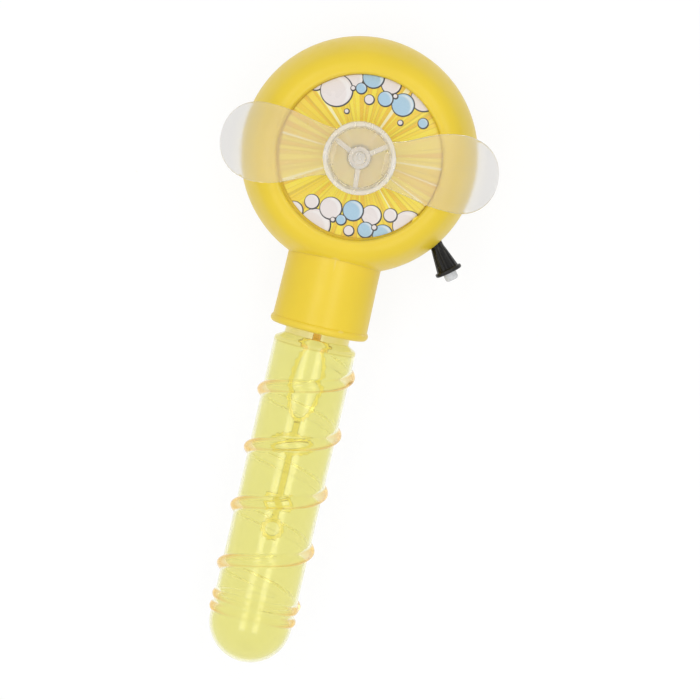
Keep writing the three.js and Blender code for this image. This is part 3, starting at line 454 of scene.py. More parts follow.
def moulded(tree, shader, where, colour, drift, roughness, grain, rub, paling, bump):
    """Finishes a material as moulded plastic; bump is how deep the grain goes, in metres."""
    inputs = {"Vector": where, "Colour": colour, "Tone Drift": drift, "Roughness": roughness}
    inputs |= {"Grain Scale": grain, "Rub": rub, "Edge Paling": paling}
    covered(tree, shader, moulded_skin, bump, inputs)


shell_yellow, tree, shader, where = new_material("shell_yellow")
moulded(
    tree, shader, where, SHELL_YELLOW,
    drift=0.035, roughness=0.34, grain=1500.0, rub=0.12, paling=0.10, bump=0.00004,
)
feed(tree, shader, {"IOR": 1.5, "Subsurface Weight": 0.08, "Subsurface Scale": 0.5})
feed(tree, shader, {"Subsurface Radius": (0.004, 0.003, 0.0008)})

# The section of a half head: the face's edge fillet, then the long side arc down to the seam. It is
# drawn for the front, and the rear is the same turned over.
EDGE_CENTRE_Z = HEAD_THICK - EDGE_R
SIDE_CENTRE_R = HEAD_R - SIDE_ARC_R
EDGE_RISE = EDGE_CENTRE_Z - MID_Z
EDGE_CENTRE_R = SIDE_CENTRE_R + math.sqrt((SIDE_ARC_R - EDGE_R) ** 2 - EDGE_RISE**2)
MEET_ANGLE = math.degrees(math.asin(EDGE_RISE / (SIDE_ARC_R - EDGE_R)))


def side_angle(height, inset):
    """The side arc's angle at a height, for a section moved in by inset."""
    return math.degrees(math.asin((height - MID_Z) / (SIDE_ARC_R - inset)))


def outline_down(bm, pen, to_height):
    """From the face's edge out and down to a height near the seam."""
    pen = arc(bm, pen, (EDGE_CENTRE_R, EDGE_CENTRE_Z), MEET_ANGLE - 90, 10)
    return arc(bm, pen, (SIDE_CENTRE_R, MID_Z), side_angle(to_height, 0) - MEET_ANGLE, 14)


def outline_up(bm, pen, from_height, stop=90.0):
    """Inside the wall, from a height near the seam up to the face's inner side."""
    start = side_angle(from_height, WALL)
    pen = arc(bm, pen, (SIDE_CENTRE_R, MID_Z), MEET_ANGLE - start, 8)
    return arc(bm, pen, (EDGE_CENTRE_R, EDGE_CENTRE_Z), stop - MEET_ANGLE, 6)


def inner_side(height):
    start = math.radians(side_angle(height, WALL))
    return SIDE_CENTRE_R + (SIDE_ARC_R - WALL) * math.cos(start), height


def half_filled():
    """The half head, full and half a wall smaller, to trim what is moulded inside."""
    bm = bmesh.new()
    pen = first = bm.verts.new((0, 0, HEAD_THICK - WALL / 2))
    pen = line(bm, pen, (EDGE_CENTRE_R, HEAD_THICK - WALL / 2))
    pen = arc(bm, pen, (EDGE_CENTRE_R, EDGE_CENTRE_Z), MEET_ANGLE - 90, 6)
    low = side_angle(MID_Z + SEAM_GAP / 2, WALL / 2)
    pen = arc(bm, pen, (SIDE_CENTRE_R, MID_Z), low - MEET_ANGLE, 8)
    pen = line(bm, pen, (0, pen.co.z))
    bm.edges.new((pen, first))
    return turn(bm, 64)


SWITCH_ROUND = math.radians(-36.64)
SWITCH_PROUD = 0.34
press = next(j for j in frame["record"]["behaviour"]["joints"] if j["name"] == "button_press")
switch_out = -Vector(press["axis"]).normalized()
switch_across = Vector((-switch_out.y, switch_out.x, 0))
switch_frame = Matrix.Translation(
    Vector((math.cos(SWITCH_ROUND), math.sin(SWITCH_ROUND), 0)) * (HEAD_R + SWITCH_PROUD)
    + Vector((0, 0, MID_Z))
) @ Matrix((switch_across, (0, 0, 1), switch_out)).transposed().to_4x4()


def on_switch_axis(bm):
    """Stands a piece that was turned about +Z on the switch's axis, which points outwards."""
    return placed(bm, switch_frame)


def shell_openings():
    """The collar's and the switch guard's holes, which both halves share."""
    collar_top = millimetres("neck_collar")[1].y
    collar_hole = on_bottle_axis(rod(COLLAR_HOLE_R, -HEAD_R - 5, collar_top + 1, 160))
    return collar_hole, on_switch_axis(rod(GUARD_HOLE_R, -8, 5, 48))


case_screws = [middle(f"case_screw_{n}") for n in (1, 2, 3)]
clamp_screws = [middle(f"clamp_screw_{n}") for n in (1, 2)]
seam_top = MID_Z + SEAM_GAP / 2

bm = bmesh.new()
pen = first = bm.verts.new((DISH_R, 0, DISH_Z))
pen = line(bm, pen, (DISH_R, HEAD_THICK - DISH_LIP))
pen = arc(bm, pen, (DISH_R + DISH_LIP, HEAD_THICK - DISH_LIP), -90, 5)
pen = line(bm, pen, (EDGE_CENTRE_R, HEAD_THICK))
pen = outline_down(bm, pen, seam_top)
seam_corner = pen
rebate_top = seam_top + TONGUE_OVER + TONGUE_ROOM
pen = line(
    bm,
    pen,
    (TONGUE_R + TONGUE_ROOM, seam_top),
    (TONGUE_R + TONGUE_ROOM, rebate_top),
    inner_side(rebate_top),
)
pen = outline_up(bm, pen, rebate_top, 88.0)
pen = line(
    bm,
    pen,
    (DISH_R + WALL, DISH_Z + 0.6),
    (DISH_R + WALL, DISH_Z - WALL),
    (NOSE_HOLE_R, DISH_Z - WALL),
    (NOSE_HOLE_R, DISH_Z),
)
bm.edges.new((pen, first))
round_corner(bm, seam_corner, SEAM_ROUND)
front = turn(bm, HEAD_STEPS)
post_foot = millimetres("motor_clamp")[1].z + SEAM_GAP
bosses = [rod(BOSS_R - 1, seam_top, HEAD_THICK, 32, at=screw) for screw in case_screws]
hanger = middle("switch_block")
hanger_foot = millimetres("switch_block")[1].z + SEAM_GAP
hanger_post = rod(HANGER_R, hanger_foot, HEAD_THICK, 32, at=hanger)
trimmed = [combine("INTERSECT", b, half_filled()) for b in [*bosses, hanger_post]]
posts = [rod(POST_R, post_foot, DISH_Z - WALL / 2, 32, at=screw) for screw in clamp_screws]
front = combine("UNION", front, *trimmed, *posts)
pilots = [rod(PILOT_R, MID_Z - 1, MID_Z + CASE_PILOT, 20, at=screw) for screw in case_screws]
pilots += [rod(PILOT_R, post_foot - 1, post_foot + CLAMP_PILOT, 20, at=s) for s in clamp_screws]
front = combine("DIFFERENCE", front, *pilots, *shell_openings())
fit("front_shell", front, shell_yellow, "housing")

# ---- Rear shell ----
# The back half of the head, moulded in the same yellow ABS, with a flat back that it lies on. A
# tongue at the seam slips into the front shell, and screws go in through three deep sinks.
SCREW_HEAD = 1.6
SCREW_WAY = 14.0
BAY_ROOM = 0.15
BAY_WALL_X = 21.0
BAY_WALL = 1.6
BAY_WALL_TOP = MID_Z - 3.0
DOOR_BOSS_R = 3.0
DOOR_BOSS_TOP = 14.0
DOOR_CORNER = 9.0
DOOR_GAP = 0.3
SINK_R = 2.8
SHANK_HOLE_R = 1.5
SINK_CHAMFER = 0.4

bm = bmesh.new()
pen = first = bm.verts.new((0, 0, HEAD_THICK))
pen = line(bm, pen, (EDGE_CENTRE_R, HEAD_THICK))
pen = outline_down(bm, pen, seam_top)
seam_corner = pen
tongue_end = seam_top - SEAM_GAP - TONGUE_OVER
pen = line(bm, pen, (TONGUE_R, seam_top), (TONGUE_R, tongue_end), inner_side(tongue_end))
pen = outline_up(bm, pen, tongue_end)
pen = line(bm, pen, (0, HEAD_THICK - WALL))
bm.edges.new((pen, first))
round_corner(bm, seam_corner, SEAM_ROUND)


def turned_over(bm):
    """Mirrors a half of the head in its seam plane."""
    shifted(bm, (0, 0, -MID_Z))
    bmesh.ops.scale(bm, vec=(1, 1, -1), verts=bm.verts)
    bmesh.ops.recalc_face_normals(bm, faces=bm.faces)
    return shifted(bm, (0, 0, MID_Z))


rear = turned_over(turn(bm, HEAD_STEPS))
door_low, door_high = millimetres("battery_door")
door_screws = [middle(f"door_screw_{n}") for n in (1, 2)]
bay_end = -millimetres("contact_plus")[0].y + BAY_ROOM
moulded_in = [rod(BOSS_R, 0, MID_Z - SEAM_GAP / 2, 40, at=screw) for screw in case_screws]
for side in (-1, 1):
    near, far = sorted((side * bay_end, side * (bay_end + BAY_WALL)))
    moulded_in.append(block((-BAY_WALL_X, near, WALL / 2), (BAY_WALL_X, far, BAY_WALL_TOP)))
moulded_in = [combine("INTERSECT", b, turned_over(half_filled())) for b in moulded_in]
for screw in door_screws:
    door_floor = WALL + DOOR_GAP
    moulded_in.append(rod(DOOR_BOSS_R, door_floor, DOOR_BOSS_TOP, 32, at=screw))
    web = sorted((screw.y, math.copysign(bay_end + 0.5, screw.y)))
    moulded_in.append(block((-1.5, web[0], door_floor), (1.5, web[1], DOOR_BOSS_TOP - 0.01)))
rear = combine("UNION", rear, *moulded_in)


def round_edges(bm, edges, width, segments, clamp_overlap=False):
    bmesh.ops.bevel(
        bm,
        geom=edges,
        offset=width,
        offset_type="OFFSET",
        segments=segments,
        profile=0.5,
        affect="EDGES",
        clamp_overlap=clamp_overlap,
        material=-1,
    )
    return bm


def round_uprights(plate, width, segments):
    uprights = [e for e in plate.edges if abs(e.verts[0].co.z - e.verts[1].co.z) > 0.1]
    return round_edges(plate, uprights, width, segments)


def door_plate(margin, low, high):
    """The battery door's outline grown by a margin, as a plate between two heights."""
    grow = DOOR_GAP + margin
    plate = block(
        (door_low.x - grow, door_low.y - grow, low), (door_high.x + grow, door_high.y + grow, high)
    )
    return round_uprights(plate, DOOR_CORNER + margin, 12)


def screw_sink(at, seat):
    """A screw's way in: a clearance hole, and a sink down to the seat with a chamfered mouth."""
    sink = section(
        (0, -1),
        (SINK_R + SINK_CHAMFER + 1, -1),
        (SINK_R, SINK_CHAMFER),
        (SINK_R, seat),
        (SHANK_HOLE_R, seat),
        (SHANK_HOLE_R, seat + SCREW_WAY),
        (0, seat + SCREW_WAY),
    )
    return shifted(turn(sink, 48), (at.x, at.y, 0))


case_seat = millimetres("case_screw_1")[0].z + SCREW_HEAD
sinks = [screw_sink(screw, case_seat) for screw in case_screws]
door_pilots = [rod(PILOT_R, 1, DOOR_BOSS_TOP - 2, 20, at=screw) for screw in door_screws]
rear = combine(
    "DIFFERENCE", rear, door_plate(0, -1, WALL + DOOR_GAP), *sinks, *door_pilots, *shell_openings()
)
fit("rear_shell", rear, shell_yellow, "housing")

# ---- Battery door ----
# The flat plate of yellow ABS over the two cells, flush in the back and held by a screw at each
# end. Its mould left a border groove and two rows of low grip bars.
DOOR_EDGE = 0.35
DOOR_SEAT = 0.9
GRIP_BARS = 5
GRIP_PITCH = 2.6
GRIP_HALF_X = 8.0
GRIP_DEEP = 0.35
GRIP_Y = 14.5
GRIP_HALF_WIDE = 0.55
GRIP_ROUND = 0.5


def soften(bm, width, degrees=40.0, segments=2):
    """Rounds every edge that is sharper than an angle, as a mould does."""
    limit = math.radians(degrees)
    sharp = [e for e in bm.edges if len(e.link_faces) == 2 and e.calc_face_angle() > limit]
    return round_edges(bm, sharp, width, segments, clamp_overlap=True)


door = door_plate(-2 * DOOR_GAP + 0.1, 0, WALL)
soften(door, DOOR_EDGE, 60.0, 3)
grips = []
for side in (-1, 1):
    for bar in range(GRIP_BARS):
        y = side * (GRIP_Y - (bar - (GRIP_BARS - 1) / 2) * GRIP_PITCH)
        groove = block(
            (-GRIP_HALF_X, y - GRIP_HALF_WIDE, -1), (GRIP_HALF_X, y + GRIP_HALF_WIDE, GRIP_DEEP)
        )
        grips.append(round_uprights(groove, GRIP_ROUND, 4))
door = combine("DIFFERENCE", door, *grips, *[screw_sink(s, DOOR_SEAT) for s in door_screws])
fit("battery_door", door, shell_yellow, "housing")

# ---- Screws ----
# Zinc-plated pan-head self-tapping screws with a cross recess: three hold the shells, two the door
# and two the motor's clamp. The plating is bright, with the threads cut into it.
SCREW_HEAD_R = 2.5
SCREW_SHANK_R = 1.2
SCREW_CORE_R = 0.85
SCREW_RIM = 0.15
SCREW_THREAD_PITCH = 0.95
RECESS_HALF = 0.38
RECESS_REACH = 1.45
RECESS_DEEP = 1.0
PLATED = (0.60, 0.60, 0.58, 1)

# Metal: a drift of tarnish over the base colour and fine streaks in the finish.
metal_skin, given, result = group(
    "metal_skin",
    {
        "Vector": "Vector",
        "Colour": "Color",
        "Tarnish": "Color",
        "Tarnish Share": "Float",
        "Roughness": "Float",
        "Streak": "Float",
    },
    SKIN_GIVES,
)
tree = metal_skin
spots = spread(tree, noise(tree, given["Vector"], 240.0, 4.0, 0.6), 0.45, 0.7, 0.0, 1.0)
spots = math_of(tree, "MULTIPLY", spots, given["Tarnish Share"])
tarnished = blended(tree, spots, given["Colour"], given["Tarnish"])
along = {"Vector": given["Vector"], "Scale": (1.0, 1.0, 0.08)}
streaks = noise(tree, put(tree, "ShaderNodeMapping", along).outputs[0], 2600.0, 3.0, 0.6)
gloss = math_of(tree, "MULTIPLY", streaks, given["Streak"])
gloss = math_of(tree, "ADD", given["Roughness"], gloss)
feed(tree, result, {"Colour": tarnished, "Roughness": gloss, "Height": streaks})


def metal(name, colour, tarnish, share, roughness, streak):
    made, tree, shader, where = new_material(name)
    inputs = {"Vector": where, "Colour": colour, "Tarnish": tarnish, "Tarnish Share": share}
    inputs |= {"Roughness": roughness, "Streak": streak}
    covered(tree, shader, metal_skin, 0.00001, inputs)
    feed(tree, shader, {"Metallic": 1.0})
    return made


plated_steel = metal("plated_steel", PLATED, (0.42, 0.40, 0.34, 1), 0.35, 0.24, 0.16)


def pan_screw(node):
    low, high = millimetres(node)
    length = high.z - low.z
    threads = int((length - SCREW_HEAD - 1.2) / SCREW_THREAD_PITCH)
    profile = [(0, 0), (SCREW_HEAD_R * 0.62, 0, 0.3), (SCREW_HEAD_R, SCREW_HEAD * 0.45, 0.5)]
    profile += [(SCREW_HEAD_R, SCREW_HEAD - SCREW_RIM, 0.1), (SCREW_CORE_R, SCREW_HEAD - SCREW_RIM)]
    for n in range(threads):
        rise = SCREW_HEAD + 0.3 + n * SCREW_THREAD_PITCH
        profile += [
            (SCREW_CORE_R, rise),
            (SCREW_SHANK_R, rise + SCREW_THREAD_PITCH * 0.35),
            (SCREW_CORE_R, rise + SCREW_THREAD_PITCH * 0.7),
        ]
    profile += [(SCREW_CORE_R * 0.8, length - 0.7), (0, length)]
    bm = turn(section(*profile), 40)
    arms = []
    for wide, deep in ((RECESS_REACH, RECESS_HALF), (RECESS_HALF, RECESS_REACH)):
        arm = block((-wide, -deep, -1), (wide, deep, RECESS_DEEP))
        floor_verts = [v for v in arm.verts if v.co.z > 0]
        bmesh.ops.scale(arm, vec=(0.55, 0.55, 1), verts=floor_verts)
        arms.append(arm)
    bm = combine("DIFFERENCE", bm, *arms)
    placed(bm, Matrix.Rotation(low.x * 0.37 + low.y * 0.21, 4, "Z"))
    centre = (low + high) / 2
    fit(node, shifted(bm, (centre.x, centre.y, low.z)), plated_steel, "housing")


for holds, screws in (("case", 3), ("door", 2), ("clamp", 2)):
    for n in range(1, screws + 1):
        pan_screw(f"{holds}_screw_{n}")

# ---- Front label ----
# A printed film disc stuck in the dish, with a hole for the motor's nose: gold and pale rays behind
# drifts of white and blue bubbles drawn with a fine dark line. The film is laminated, so it shines.
LABEL_HOLE_R = 4.8
LABEL_EDGE_R = 30.45
LABEL_OFF = (0.35, 0.38)
LABEL_ROUND = 0.12
RAYS = 98
RAY_GOLD = (0.79, 0.50, 0.016, 1)
RAY_LEMON = (0.84, 0.68, 0.035, 1)
RAY_DARK = (0.54, 0.36, 0.012, 1)
RAY_PALE = (0.86, 0.80, 0.50, 1)
# degrees round the label, and degrees wide
PALE_RAYS = [
    (135.4, 3.4),
    (67.6, 4.0),
    (4.0, 2.2),
    (-8.0, 1.2),
    (-23.8, 1.6),
    (-47.4, 1.4),
    (176.0, 1.8),
    (-150.0, 2.4),
]
BUBBLE_LINE = (0.02, 0.019, 0.022, 1)
BUBBLE_LINE_WIDE = 0.42
BUBBLE_WHITE = (0.76, 0.70, 0.69, 1)
BUBBLE_BLUE = (0.36, 0.55, 0.70, 1)
# x, y and radius in mm, from the back of the drift to its front
WHITE_BUBBLES = [
    (-22.0, 23.5, 3.3),
    (18.5, 26.5, 5.0),
    (5.5, 29.0, 3.9),
    (-9.0, 27.9, 4.2),
    (-13.8, 22.2, 6.2),
    (-19.3, -25.0, 3.7),
    (-10.4, -28.2, 6.0),
    (23.4, -21.0, 5.8),
    (9.3, -20.2, 3.9),
    (-13.4, -20.2, 2.9),
    (-6.0, -21.0, 4.3),
    (16.2, -18.6, 2.7),
]
BLUE_BUBBLES = [
    (-1.5, 30.0, 4.2),
    (11.5, 22.5, 4.4),
    (4.6, 23.2, 3.0),
    (-5.0, 25.0, 2.2),
    (20.3, 17.5, 2.1),
    (15.0, -26.3, 3.9),
    (8.4, -26.0, 3.1),
    (2.3, -20.0, 4.0),
    (-1.3, -24.4, 2.1),
]
SMALL_BUBBLES = [
    (-1.2, 21.6, 2.0),
    (-8.0, 24.4, 1.1),
    (8.0, 25.0, 1.1),
    (12.0, 15.8, 1.2),
    (-8.4, 15.5, 1.1),
    (-4.3, -25.0, 1.1),
    (2.4, -27.7, 2.1),
    (11.4, -24.4, 1.2),
]

# One drawn bubble over what lies under it: a fine line that is heavier at the lower right, a flat
# fill, and a paler crescent of shine towards the upper right.
bubble_print, given, result = group(
    "bubble_print",
    {"Vector": "Vector", "Centre": "Vector", "Radius": "Float", "Fill": "Color", "Under": "Color"},
    {"Colour": "Color"},
)


def vector_of(tree, operation, first, second=(0, 0, 0)):
    made = put(tree, "ShaderNodeVectorMath", {0: first, 1: second}, operation=operation)
    return made.outputs["Value" if operation in ("LENGTH", "DISTANCE") else "Vector"]


def disc_mask(radius, nudge, line_soft=0.07):
    """1 inside a circle of that radius about the bubble's centre, moved by a nudge."""
    centre = vector_of(tree, "ADD", given["Centre"], nudge)
    away = vector_of(tree, "DISTANCE", given["Vector"], centre)
    return spread(tree, away, radius, math_of(tree, "ADD", radius, line_soft), 1.0, 0.0)


tree = bubble_print
whole = disc_mask(given["Radius"], (0, 0, 0))
inside_r = math_of(tree, "SUBTRACT", given["Radius"], BUBBLE_LINE_WIDE)
inside = disc_mask(inside_r, (-0.14, 0.12, 0))
shine = disc_mask(math_of(tree, "MULTIPLY", given["Radius"], 0.80), (0, 0, 0), 0.35)
shade_r = math_of(tree, "MULTIPLY", given["Radius"], 0.86)
shade = disc_mask(shade_r, scaled(tree, (-0.30, -0.22, 0), given["Radius"]), 0.8)
crescent = math_of(tree, "MULTIPLY", shine, math_of(tree, "SUBTRACT", 1.0, shade))
crescent = math_of(tree, "MULTIPLY", crescent, 0.55)
fill = blended(tree, crescent, given["Fill"], (0.86, 0.85, 0.85, 1))
lined = blended(tree, whole, given["Under"], BUBBLE_LINE)
feed(tree, result, {"Colour": blended(tree, inside, lined, fill)})

label_print, tree, shader, where = new_material("label_print")
in_mm = scaled(tree, where, 1 / MM)
flat = vector_of(tree, "MULTIPLY", in_mm, (1, 1, 0))
centred = vector_of(tree, "SUBTRACT", in_mm, (*LABEL_OFF, 0))
apart = put(tree, "ShaderNodeSeparateXYZ", {0: centred})
angle = math_of(tree, "ARCTAN2", apart.outputs["Y"], apart.outputs["X"])
sector = math_of(tree, "MULTIPLY", angle, RAYS / (2 * math.pi))
wobble = put(
    tree,
    "ShaderNodeTexNoise",
    {"W": math_of(tree, "MULTIPLY", sector, 0.9), "Scale": 1.0, "Detail": 1.0},
    noise_dimensions="1D",
)
sector = math_of(tree, "ADD", sector, math_of(tree, "MULTIPLY", wobble.outputs["Fac"], 1.6))
number = math_of(tree, "FLOOR", sector)
chance = put(tree, "ShaderNodeTexWhiteNoise", {"W": number}, noise_dimensions="1D").outputs["Value"]
odd = math_of(tree, "PINGPONG", number, 1.0)
lightness = math_of(tree, "ADD", math_of(tree, "MULTIPLY", odd, 0.55), chance)
rays = blended(tree, spread(tree, lightness, 0.2, 1.0, 0.0, 1.0), RAY_GOLD, RAY_LEMON)
within = math_of(tree, "FRACT", sector)
edge_dip = math_of(tree, "ABSOLUTE", math_of(tree, "SUBTRACT", within, 0.5))
colour = blended(tree, spread(tree, edge_dip, 0.34, 0.5, 0.0, 0.55), rays, RAY_DARK)
for degrees, wide in PALE_RAYS:
    turned = math_of(tree, "ABSOLUTE", math_of(tree, "SUBTRACT", angle, math.radians(degrees)))
    half = math.radians(wide / 2)
    colour = blended(tree, spread(tree, turned, half * 0.8, half, 0.85, 0.0), colour, RAY_PALE)
for drift_of, fill_colour in (
    (WHITE_BUBBLES, BUBBLE_WHITE),
    (BLUE_BUBBLES, BUBBLE_BLUE),
    (SMALL_BUBBLES, BUBBLE_WHITE),
):
    for x, y, radius in drift_of:
        inputs = {"Vector": flat, "Centre": (x, y, 0), "Radius": radius}
        inputs |= {"Fill": fill_colour, "Under": colour}
        drawn = put(tree, "ShaderNodeGroup", inputs, node_tree=bubble_print)
        colour = drawn.outputs["Colour"]
dots = noise(tree, where, 2400.0, 1.0)
inked = blended(tree, spread(tree, dots, 0.35, 0.65, 0.0, 0.06), colour, (1, 1, 1, 1))
ripple = noise(tree, where, 90.0, 2.0)
satin = spread(tree, ripple, 0.3, 0.7, 0.26, 0.36)
feed(tree, shader, {"Base Color": inked, "Roughness": satin})
bumped(tree, shader, ripple, 0.25, 0.0002)

label_low, label_high = millimetres("front_label")
label = section(
    (LABEL_HOLE_R, label_low.z),
    (LABEL_EDGE_R, label_low.z),
    (LABEL_EDGE_R, label_high.z, LABEL_ROUND),
    (LABEL_HOLE_R, label_high.z, LABEL_ROUND),
)
label = turn(label, 200)
for v in label.verts:
    if v.co.xy.length > LABEL_HOLE_R + 1:
        v.co += Vector((*LABEL_OFF, 0))
fit("front_label", label, label_print, "housing")

# ---- Neck collar ----
# The turned-looking neck under the head, moulded in yellow ABS with a wing that both shells trap.
# Inside are the socket with its coarse thread and, above it, the bore that the wand's plug fills.
COLLAR_R = 17.7
COLLAR_FOOT_R = 18.0
BEAD_R = 1.7
BEAD_OUT = 18.7
SOCKET_R = 14.2
SOCKET_DEPTH = 19.7
PLUG_BORE_R = 7.3
PLUG_LENGTH = 8.2
THREAD_PITCH = 4.2
THREAD_TURNS = 2
THREAD_ROOTED = 0.3
THREAD_FOOT_HALF = 0.9
THREAD_CREST_HALF = 0.35
THREAD_OUT = 0.65
BEAD_FILLET = 0.35
COLLAR_ROWS = 8
WING = (19.5, 8.0, 1.0)
WING_FOOT_GAP = 0.6

collar_foot = millimetres("neck_collar")[0].y
collar_top = millimetres("neck_collar")[1].y - WING[2]
socket_top = collar_foot + SOCKET_DEPTH
plug_top = socket_top + PLUG_LENGTH
bead_y = collar_foot + BEAD_R
bm = bmesh.new()
pen = first = bm.verts.new((0, 0, plug_top))
pen = line(bm, pen, (PLUG_BORE_R, plug_top), (PLUG_BORE_R, socket_top), (SOCKET_R, socket_top))
pen = line(bm, pen, (SOCKET_R, collar_foot + 0.5), (SOCKET_R + 0.5, collar_foot))
pen = line(bm, pen, (BEAD_OUT - BEAD_R, collar_foot))
pen = arc(bm, pen, (BEAD_OUT - BEAD_R, bead_y), 142, 14)
wall_foot = Vector((COLLAR_FOOT_R, bead_y + BEAD_R + BEAD_FILLET))
wall_top = Vector((COLLAR_R, -HEAD_R))
rows = [wall_foot.lerp(wall_top, row / COLLAR_ROWS) for row in range(COLLAR_ROWS + 1)]
pen = line(bm, pen, *rows, (COLLAR_R, collar_top))
top_corner = pen
pen = line(bm, pen, (0, collar_top))
bm.edges.new((pen, first))
round_corner(bm, top_corner, 0.6)
collar = on_bottle_axis(turn(bm, 180))


def wound(bm, pitch, turns, steps_a_turn, way=1):
    """Winds a flat capped section about +Z, right-handed, up for way 1 and down for way -1."""
    bmesh.ops.spin(
        bm,
        geom=bm.verts[:] + bm.edges[:] + bm.faces[:],
        cent=(0, 0, 0),
        axis=(0, 0, way),
        dvec=(0, 0, way * pitch / steps_a_turn),
        angle=2 * math.pi * turns,
        steps=steps_a_turn * turns,
    )
    bmesh.ops.recalc_face_normals(bm, faces=bm.faces)
    return bm


bottle_top = millimetres("bottle")[1].y
corners = [
    (SOCKET_R + THREAD_ROOTED, -THREAD_FOOT_HALF),
    (SOCKET_R + THREAD_ROOTED, THREAD_FOOT_HALF),
    (SOCKET_R - THREAD_OUT, THREAD_CREST_HALF),
    (SOCKET_R - THREAD_OUT, -THREAD_CREST_HALF),
]
socket_thread = bmesh.new()
socket_thread.faces.new([socket_thread.verts.new((r, 0, height)) for r, height in corners])
wound(socket_thread, THREAD_PITCH, THREAD_TURNS, 72, way=-1)
socket_thread = on_bottle_axis(shifted(socket_thread, (0, 0, bottle_top - THREAD_PITCH)))
inner_r = SIDE_CENTRE_R + math.sqrt((SIDE_ARC_R - WALL) ** 2 - WING[1] ** 2)
wing_foot = -math.sqrt(inner_r**2 - WING[0] ** 2) + WING_FOOT_GAP
wing = block(
    (-WING[0], wing_foot, MID_Z - WING[1]), (WING[0], collar_top + WING[2], MID_Z + WING[1])
)
collar = combine("UNION", collar, soften(wing, 0.5), socket_thread)
fit("neck_collar", collar, shell_yellow, "housing")

# ---- Bubble wand ----
# The dipping wand, moulded in one piece of clear yellow polystyrene: a plug that jams in the
# collar, a flat stem, three rings with toothed rims that hold the solution, and a pair of windows.
PLUG_R = 7.0
PLUG_GAP = 0.3
STEM_HALF = 1.2
WAND_THICK = 2.4
RING_BAR = 2.0
TOOTH = 0.6
RING_ROUND = 0.25
STEM_ROUND = 0.4
STEM_INSET = 0.02
FRAME_ROUND = 0.35
FRAME_INSET = 0.01
# each ring's distance down from the socket's top, half width, half height and number of teeth
WAND_RINGS = [(39.3, 6.8, 15.8, 26), (63.3, 8.6, 4.4, 18), (96.1, 4.6, 4.6, 11)]
WINDOWS_DROP = 85.8
WINDOWS_HALF_X = 5.3
WINDOWS_HALF_Y = 3.0
WINDOWS_BAR = 1.2
WAND_YELLOW = (0.93, 0.85, 0.42, 1)
# painted shade: the deeper orange of the wand's top, under the collar
WAND_TOP_SHADE_ORANGE = (0.88, 0.55, 0.10, 1)
# painted shade: the dark line drawn where the wand is seen edge-on
WAND_EDGE_SHADE = (0.33, 0.21, 0.02, 1)
TOP_SHADE_DOWN_TO = -73.0


def lets_light_by(tree, shader, stopped, most_turns=6.5):
    """Clear plastic: the light that reaches what lies under it loses only the share stopped, and
    light that has bounced about inside it for long gets out."""
    path = put(tree, "ShaderNodeLightPath").outputs
    soft_ray = math_of(tree, "MAXIMUM", path["Is Shadow Ray"], path["Is Diffuse Ray"])
    solid = spread(tree, soft_ray, 0.0, 1.0, 1.0, stopped)
    few_glints = math_of(tree, "LESS_THAN", path["Glossy Depth"], 2.5)
    few_turns = math_of(tree, "LESS_THAN", path["Ray Depth"], most_turns)
    lasting = math_of(tree, "MULTIPLY", few_glints, few_turns)
    feed(tree, shader, {"Alpha": math_of(tree, "MULTIPLY", solid, lasting)})


wand_yellow, tree, shader, where = new_material("wand_yellow")
height = put(tree, "ShaderNodeSeparateXYZ", {0: where}).outputs["Y"]
# Near the plug the wand is painted a deeper orange: partly the thicker plug's own deeper tint,
# partly painted shade from the collar above it.
near_plug = spread(tree, height, (TOP_SHADE_DOWN_TO - 3) * MM, TOP_SHADE_DOWN_TO * MM, 0.0, 1.0)
wand_with_painted_shade = blended(tree, near_plug, WAND_YELLOW, WAND_TOP_SHADE_ORANGE)
# Seen edge-on, the wand's colour turns to a painted dark line: painted shade standing in for the
# dark edges that refraction shows.
edge_on = put(tree, "ShaderNodeLayerWeight", {"Blend": 0.5}).outputs["Facing"]
wand_with_painted_shade = blended(tree, spread(tree, edge_on, 0.08, 0.5, 0.0, 1.0), wand_with_painted_shade, WAND_EDGE_SHADE)
moulded(
    tree, shader, where, wand_with_painted_shade,
    drift=0.05, roughness=0.05, grain=900.0, rub=0.04, paling=0.0, bump=0.00002,
)
lets_light_by(tree, shader, 0.25)
feed(tree, shader, {"Transmission Weight": 1.0, "IOR": 1.59})


def thickened(bm, faces, thick, foot):
    """Raises flat faces into a closed plate that stands on a height."""
    risen = bmesh.ops.extrude_face_region(bm, geom=faces)
    lifted = [g for g in risen["geom"] if isinstance(g, bmesh.types.BMVert)]
    bmesh.ops.translate(bm, vec=(0, 0, thick), verts=lifted)
    bmesh.ops.recalc_face_normals(bm, faces=bm.faces)
    return shifted(bm, (0, 0, foot))


def wand_ring(drop, half_x, half_y, teeth):
    """An oval ring between a toothed rim and a smooth hole, as thick as the wand."""
    bm = bmesh.new()
    points = teeth * 8
    rim = bmesh.ops.create_circle(bm, segments=points, radius=1.0)["verts"]
    for v in rim:
        turn_at = math.atan2(v.co.y, v.co.x) / (2 * math.pi) * teeth
        out = TOOTH * (0.5 - 0.5 * math.cos(2 * math.pi * turn_at))
        v.co.x *= half_x - out
        v.co.y *= half_y - out
    hole = bmesh.ops.create_circle(bm, segments=points, radius=1.0)["verts"]
    bmesh.ops.scale(bm, vec=(half_x - RING_BAR, half_y - RING_BAR, 1), verts=hole)
    bmesh.ops.bridge_loops(bm, edges=bm.edges[:])
    thickened(bm, bm.faces[:], WAND_THICK, MID_Z - WAND_THICK / 2)
    soften(bm, RING_ROUND, 60.0, 2)
    return shifted(bm, (0, socket_top - drop, 0))


